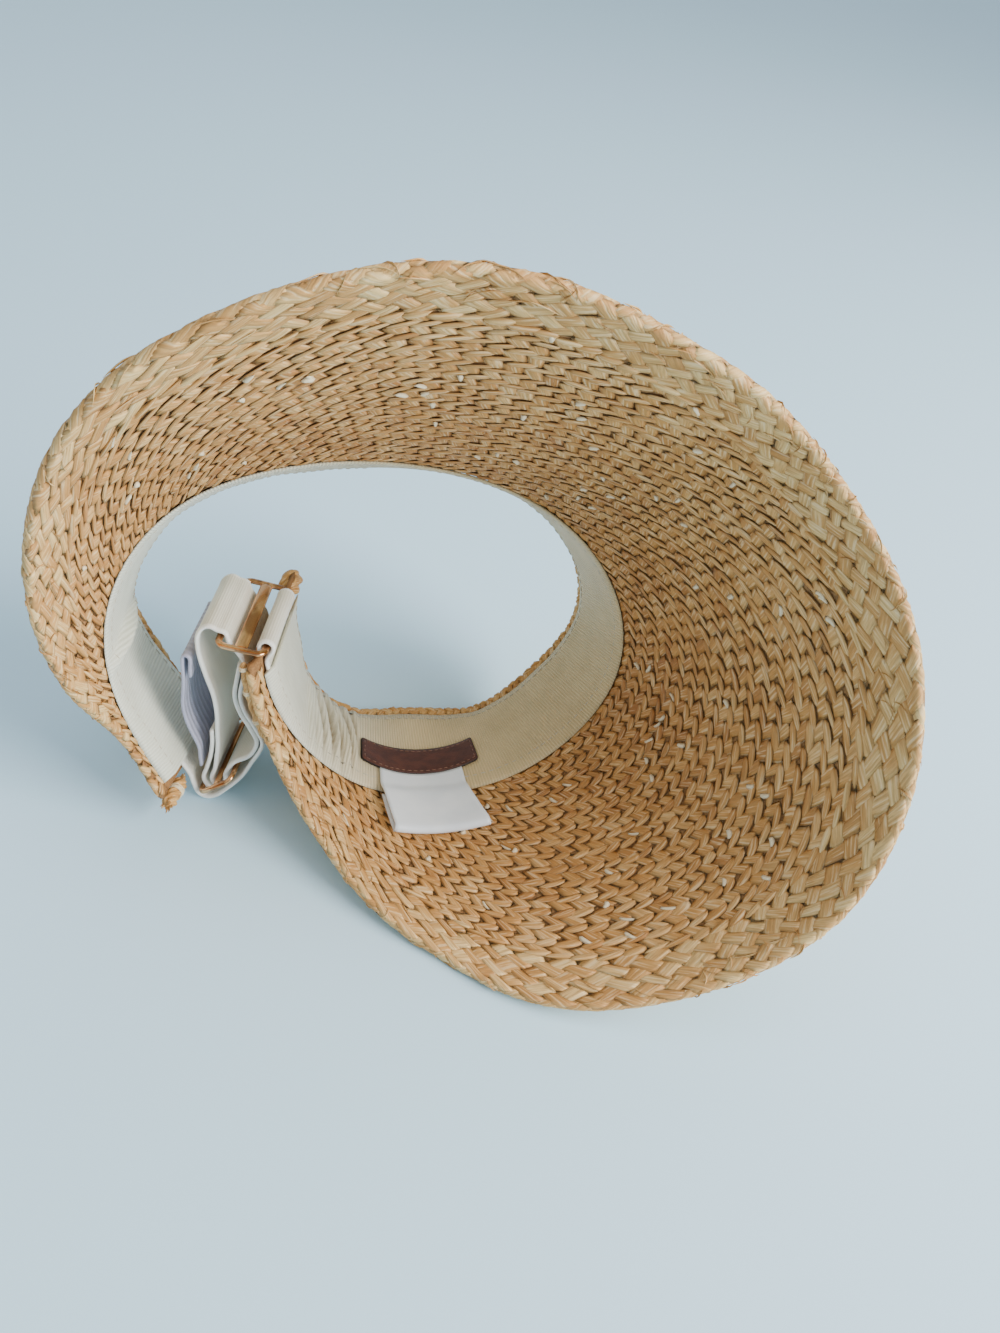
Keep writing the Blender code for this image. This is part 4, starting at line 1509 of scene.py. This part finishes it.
@dataclass
class WorkedEnds:
    """The rolled straw at the left end, the folded tip and the tied strand at the right end."""

    roll_radius: float = 0.0026
    roll_length: float = 0.014
    tip_radius: float = 0.0038
    tip_length: float = 0.0135
    strand_radius: float = 0.0012
    strand_length: float = 0.026
    thread_radius: float = 0.00028
    askew: Triple = (0.31, 0.52, 0.79)

    def rope(
        self, name: str, path: Array, radius: float, lobes: int, twist: float, finish: Finish, closing: float
    ) -> None:
        """Adds twisted straw along a path.

        Args:
            name: The CAD node that it stands for.
            path: Its middle line.
            radius: Its radius.
            lobes: How many strands show round it.
            twist: Turns in a metre.
            finish: What it is made of.
            closing: Share of its length over which its ends round off.
        """
        line = resample(path, 0.0005)
        ahead = unit(np.gradient(line, axis=0))
        side = unit(np.cross(ahead, self.askew))
        length = distances(line)[:, None]
        turn = round_turns(36)
        phase = turn - 2 * math.pi * twist * length
        lobe = np.abs(np.cos(lobes * phase / 2))
        share = length / length[-1]
        close = np.clip(np.minimum(share, 1 - share) / closing, 0.02, 1.0) ** 0.45
        r = radius * close * (0.70 + 0.34 * lobe**0.7)
        points = tube(line, side, np.cross(ahead, side), r * np.cos(turn), r * np.sin(turn))
        strand = np.floor(lobes * phase / (2 * math.pi))
        fibre = stacked(length / MM * 3, phase * radius / MM, strand)
        # Painted shade in the grooves between the twisted strands
        shade = stacked(0.45 + 0.3 * np.sin(strand * 2.4), 0.6, 1 - 0.9 * lobe)
        add_piece(f"{name}_straw", points, finish, fibre, shade, [name])

    def fray(self, name: str, ends: list[tuple[Array, Array]], count: int) -> None:
        """Adds loose strands that splay from straw's cut ends.

        Args:
            name: The piece's name.
            ends: The place and direction of each end.
            count: Strands at each.
        """
        random = np.random.default_rng(51)
        rows, around = 10, 8
        t, turn = np.linspace(0, 1, rows), round_turns(around)
        points, faces, fibre, shade = [], [], [], []
        for root, ahead in ends:
            for _ in range(count):
                away = random.normal(0, 1, 3)
                away = unit(away - (away @ ahead) * ahead)
                length = random.uniform(0.0022, 0.0042)
                line = root - ahead * 0.002 + away * random.uniform(0.0002, 0.0018)
                line = line + ahead * (length * t)[:, None] + away * (0.22 * length * t**2)[:, None]
                radius = (random.uniform(0.00022, 0.00038) * (1 - 0.75 * t**2))[:, None]
                base = rows * around * len(points)
                faces += [[base + v for v in face] for face in capped_faces(rows, around)]
                side = unit(np.cross(ahead, away))
                wide, high = 2.2 * radius * np.cos(turn), 0.8 * radius * np.sin(turn)
                points.append(tube(line, side, away, wide, high))
                fibre.append(stacked((length * t / MM)[:, None], turn, 7.0 * len(points)))
                shade.append(np.broadcast_to([random.uniform(0.1, 0.9), 0.6, 0.2], (rows, around, 3)))
        points, fibre, shade = (np.vstack(values) for values in (points, fibre, shade))
        add_piece(name, points, Finish.RIM, fibre, shade, (), faces)

    def knot(self, name: str, centre: Array, ahead: Array, radius: float, turns: int) -> None:
        """Binds thread round straw.

        Args:
            name: The piece's name.
            centre: Middle of the binding.
            ahead: Direction of the straw.
            radius: Radius of the binding.
            turns: Turns of thread.
        """
        side = unit(np.cross(ahead, self.askew))
        top = np.cross(ahead, side)
        t = np.linspace(0, 1, turns * 20)[:, None]
        a = 2 * math.pi * turns * t
        line = centre + ahead * ((t - 0.5) * turns * 0.0006 + 0.0002 * np.sin(a * 0.7))
        line = line + radius * (1 + 0.05 * np.sin(5.3 * a)) * (np.cos(a) * side + np.sin(a) * top)
        out = unit(line - centre - ((line - centre) @ ahead)[:, None] * ahead)
        third = np.cross(unit(np.gradient(line, axis=0)), out)
        turn = round_turns(8)
        points = tube(line, out, third, self.thread_radius * np.cos(turn), self.thread_radius * np.sin(turn))
        fibre = stacked(np.arange(len(t))[:, None] * 0.4, turn * 0.3, 0.0)
        add_piece(name, points, Finish.WHITE_THREAD, fibre)

    def build(self) -> None:
        """Makes the worked ends."""
        seam = FORM.read("seam", -1.0)
        tangent = unit(FORM.read("seam", -0.99) - seam)
        middle = STRAW / 2 * FORM.read("band_out", -1.0)
        start = seam - tangent * (self.roll_radius + GAP) + middle
        depth = float(FORM.read("depth", -1.0))
        rim = start + FORM.read("brim", -1.0) * depth
        top = start + FORM.read("band", -1.0) * (self.roll_length - depth)
        path = np.array([rim, start, (start + top) / 2, top])
        self.rope("end_roll", path, self.roll_radius, 5, 60, Finish.CROWN, 0.12)
        ahead = unit(top - start)
        self.fray("roll_fray", [(rim, unit(rim - start)), (top, ahead)], 12)
        self.knot("roll_binding", start + (top - start) * 0.35, ahead, self.roll_radius * 1.02, 4)
        low = TAB_UP + STRAP_WIDTH + SLIDER_CLEAR + SLIDER_BAR + 4 * GAP
        up = np.linspace(low, low + self.tip_length, 5)
        tip = FORM.place(Part.BAND, STRAW_END - (self.tip_radius + GAP) / HALF, up, STRAW / 2)
        self.rope("end_tip", tip, self.tip_radius, 4, 38, Finish.CROWN, 0.3)
        along = np.linspace(STRAW_END - self.strand_length / HALF, STRAW_END, 14)
        lift = RIM_THICK + GAP + self.strand_radius
        strand = FORM.place(Part.BRIM, along, FORM.read("depth", along) * 0.7, lift)
        self.rope("tie_strand", strand, self.strand_radius, 2, 90, Finish.RIM, 0.06)
        for k, place in enumerate((3, 8, 12)):
            ahead = unit(strand[place + 1] - strand[place - 1])
            self.knot(f"tie_thread_{k + 1}", strand[place], ahead, self.strand_radius * 1.15, 3)


@dataclass
class LooseThreads:
    """Ends of white sewing thread between the rows, and fibres that stand off the rim."""

    count: int = 100
    fibres: int = 32

    def build(self) -> None:
        """Makes the thread ends and the fibres."""
        surface, rim = Surface(Part.BRIM, STRAW), Surface(Part.BRIM, RIM_THICK)
        random = np.random.default_rng(42)
        weave = Weave(41)
        for side in Side:
            s = random.uniform(-0.19, 0.20, self.count)
            row = random.integers(0, 16, self.count)
            q = RIM_WIDTH + StrawBody.rim_seam + row * StrawBody.row + surface.turn
            q = q + random.uniform(-0.001, 0.001, self.count)
            keep = q < FORM.read("depth", s / HALF) - 0.004
            lot = random.integers(0, 3, self.count)
            for number, slant in enumerate((-70, -30, 60)):
                part = keep & (lot == number)
                thread = Strand(0.0030, 0.0013, slant, 0.0008, -0.0004, 0.0, 0.4, 0.0003, 0.0)
                weave.add(thread, surface, s[part], q[part], side)
        weave.build("thread_ends", Finish.WHITE_THREAD)
        weave = Weave(43)
        for side in Side:
            for slant in (-62, -20, 30, 75):
                s = random.uniform(-0.22, 0.225, self.fibres)
                q = random.uniform(0.0, 0.012, self.fibres)
                hair = Strand(0.0050, 0.00020, slant, 0.0003, -0.0003, 0.0003, 0.9, 0.0005, 0.0, 0.0)
                weave.add(hair, rim, s, q, side)
        weave.build("rim_fibres", Finish.RIM)


# Floor, light and camera


class Lamp(NamedTuple):
    """A soft area light: its name, place, size in metres, power in watts and colour."""

    name: str
    place: Triple
    size: float
    power: float
    colour: Colour


@dataclass
class Studio:
    """A plain pale floor, soft light and the photograph's camera."""

    surface: FloorFinish = FloorFinish("floor_surface", None, (0.625, 0.865, 1.0), (0.60, 0.84, 0.985))
    half: float = 8.0
    floor_level: float = -0.0009
    sky: tuple[float, float, float, float] = (0.80, 0.91, 1.0, 1.0)
    sky_strength: float = 0.72
    lamps: tuple[Lamp, ...] = (
        Lamp("key", (1.35, -0.45, 0.78), 1.1, 58.0, (1.0, 0.985, 0.96)),
        Lamp("overhead", (0.1, 0.3, 1.6), 1.4, 6.0, (0.95, 0.98, 1.0)),
    )
    aim: Triple = (0.0, 0.0, 0.05)
    camera_place: Triple = (-0.01384, -0.25329, 0.28966)
    camera_turns: Triple = (48.302, -8.229, 2.661)
    lens: float = 27.03

    @staticmethod
    def add(name: str, data: bpy.types.ID, place: Sequence[float]) -> bpy.types.Object:
        """Adds an object to the scene.

        Args:
            name: Its name.
            data: Its mesh, light or camera.
            place: Where it stands.

        Returns:
            The object.
        """
        obj = bpy.data.objects.new(name, data)
        obj.location = place
        bpy.context.scene.collection.objects.link(obj)
        return obj

    def build(self) -> None:
        """Makes floor, lights, world and camera."""
        mesh = bpy.data.meshes.new("floor")
        r = self.half
        mesh.from_pydata([(-r, -r, 0), (r, -r, 0), (r, r, 0), (-r, r, 0)], [], [(0, 1, 2, 3)])
        mesh.materials.append(self.surface.make())
        self.add("floor", mesh, (0.0, 0.0, self.floor_level))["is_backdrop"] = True
        world = bpy.data.worlds.new("studio")
        world.use_nodes = True
        background = world.node_tree.nodes["Background"]
        background.inputs["Color"].default_value = self.sky
        background.inputs["Strength"].default_value = self.sky_strength
        bpy.context.scene.world = world
        for lamp in self.lamps:
            light = bpy.data.lights.new(lamp.name, "AREA")
            light.size, light.energy, light.color = lamp.size, lamp.power, lamp.colour
            obj = self.add(lamp.name, light, lamp.place)
            aim = Vector(self.aim) - Vector(lamp.place)
            obj.rotation_euler = aim.to_track_quat("-Z", "Y").to_euler()
        data = bpy.data.cameras.new("photo_camera")
        data.lens = self.lens
        data.sensor_width = 36.0
        data.sensor_fit = "AUTO"
        camera = self.add("photo_camera", data, self.camera_place)
        camera.rotation_euler = [math.radians(t) for t in self.camera_turns]
        bpy.context.scene.camera = camera


def main() -> None:
    """Dresses the frame."""
    logging.basicConfig(level=logging.INFO, format="%(name)s %(message)s")
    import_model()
    cad_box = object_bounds()
    label, plane = Label(), StrapPlane()
    upper = Slider("upper_slider", plane, UPPER_SLIDER, plane.upper_width, 0.0042)
    lower = Slider("lower_slider", plane, LOWER_SLIDER, plane.width)
    parts = [Studio(), StrawBody(), Sweatband(), label, CareTag(label), Straps(plane), upper, lower]
    for part in [*parts, WorkedEnds(), LooseThreads()]:
        part.build()
    sizes = {"cad": cad_box, "visual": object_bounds()}
    {name: [[float(v) for v in corner] for corner in box] for name, box in sizes.items()}


if __name__ == "__main__":
    main()
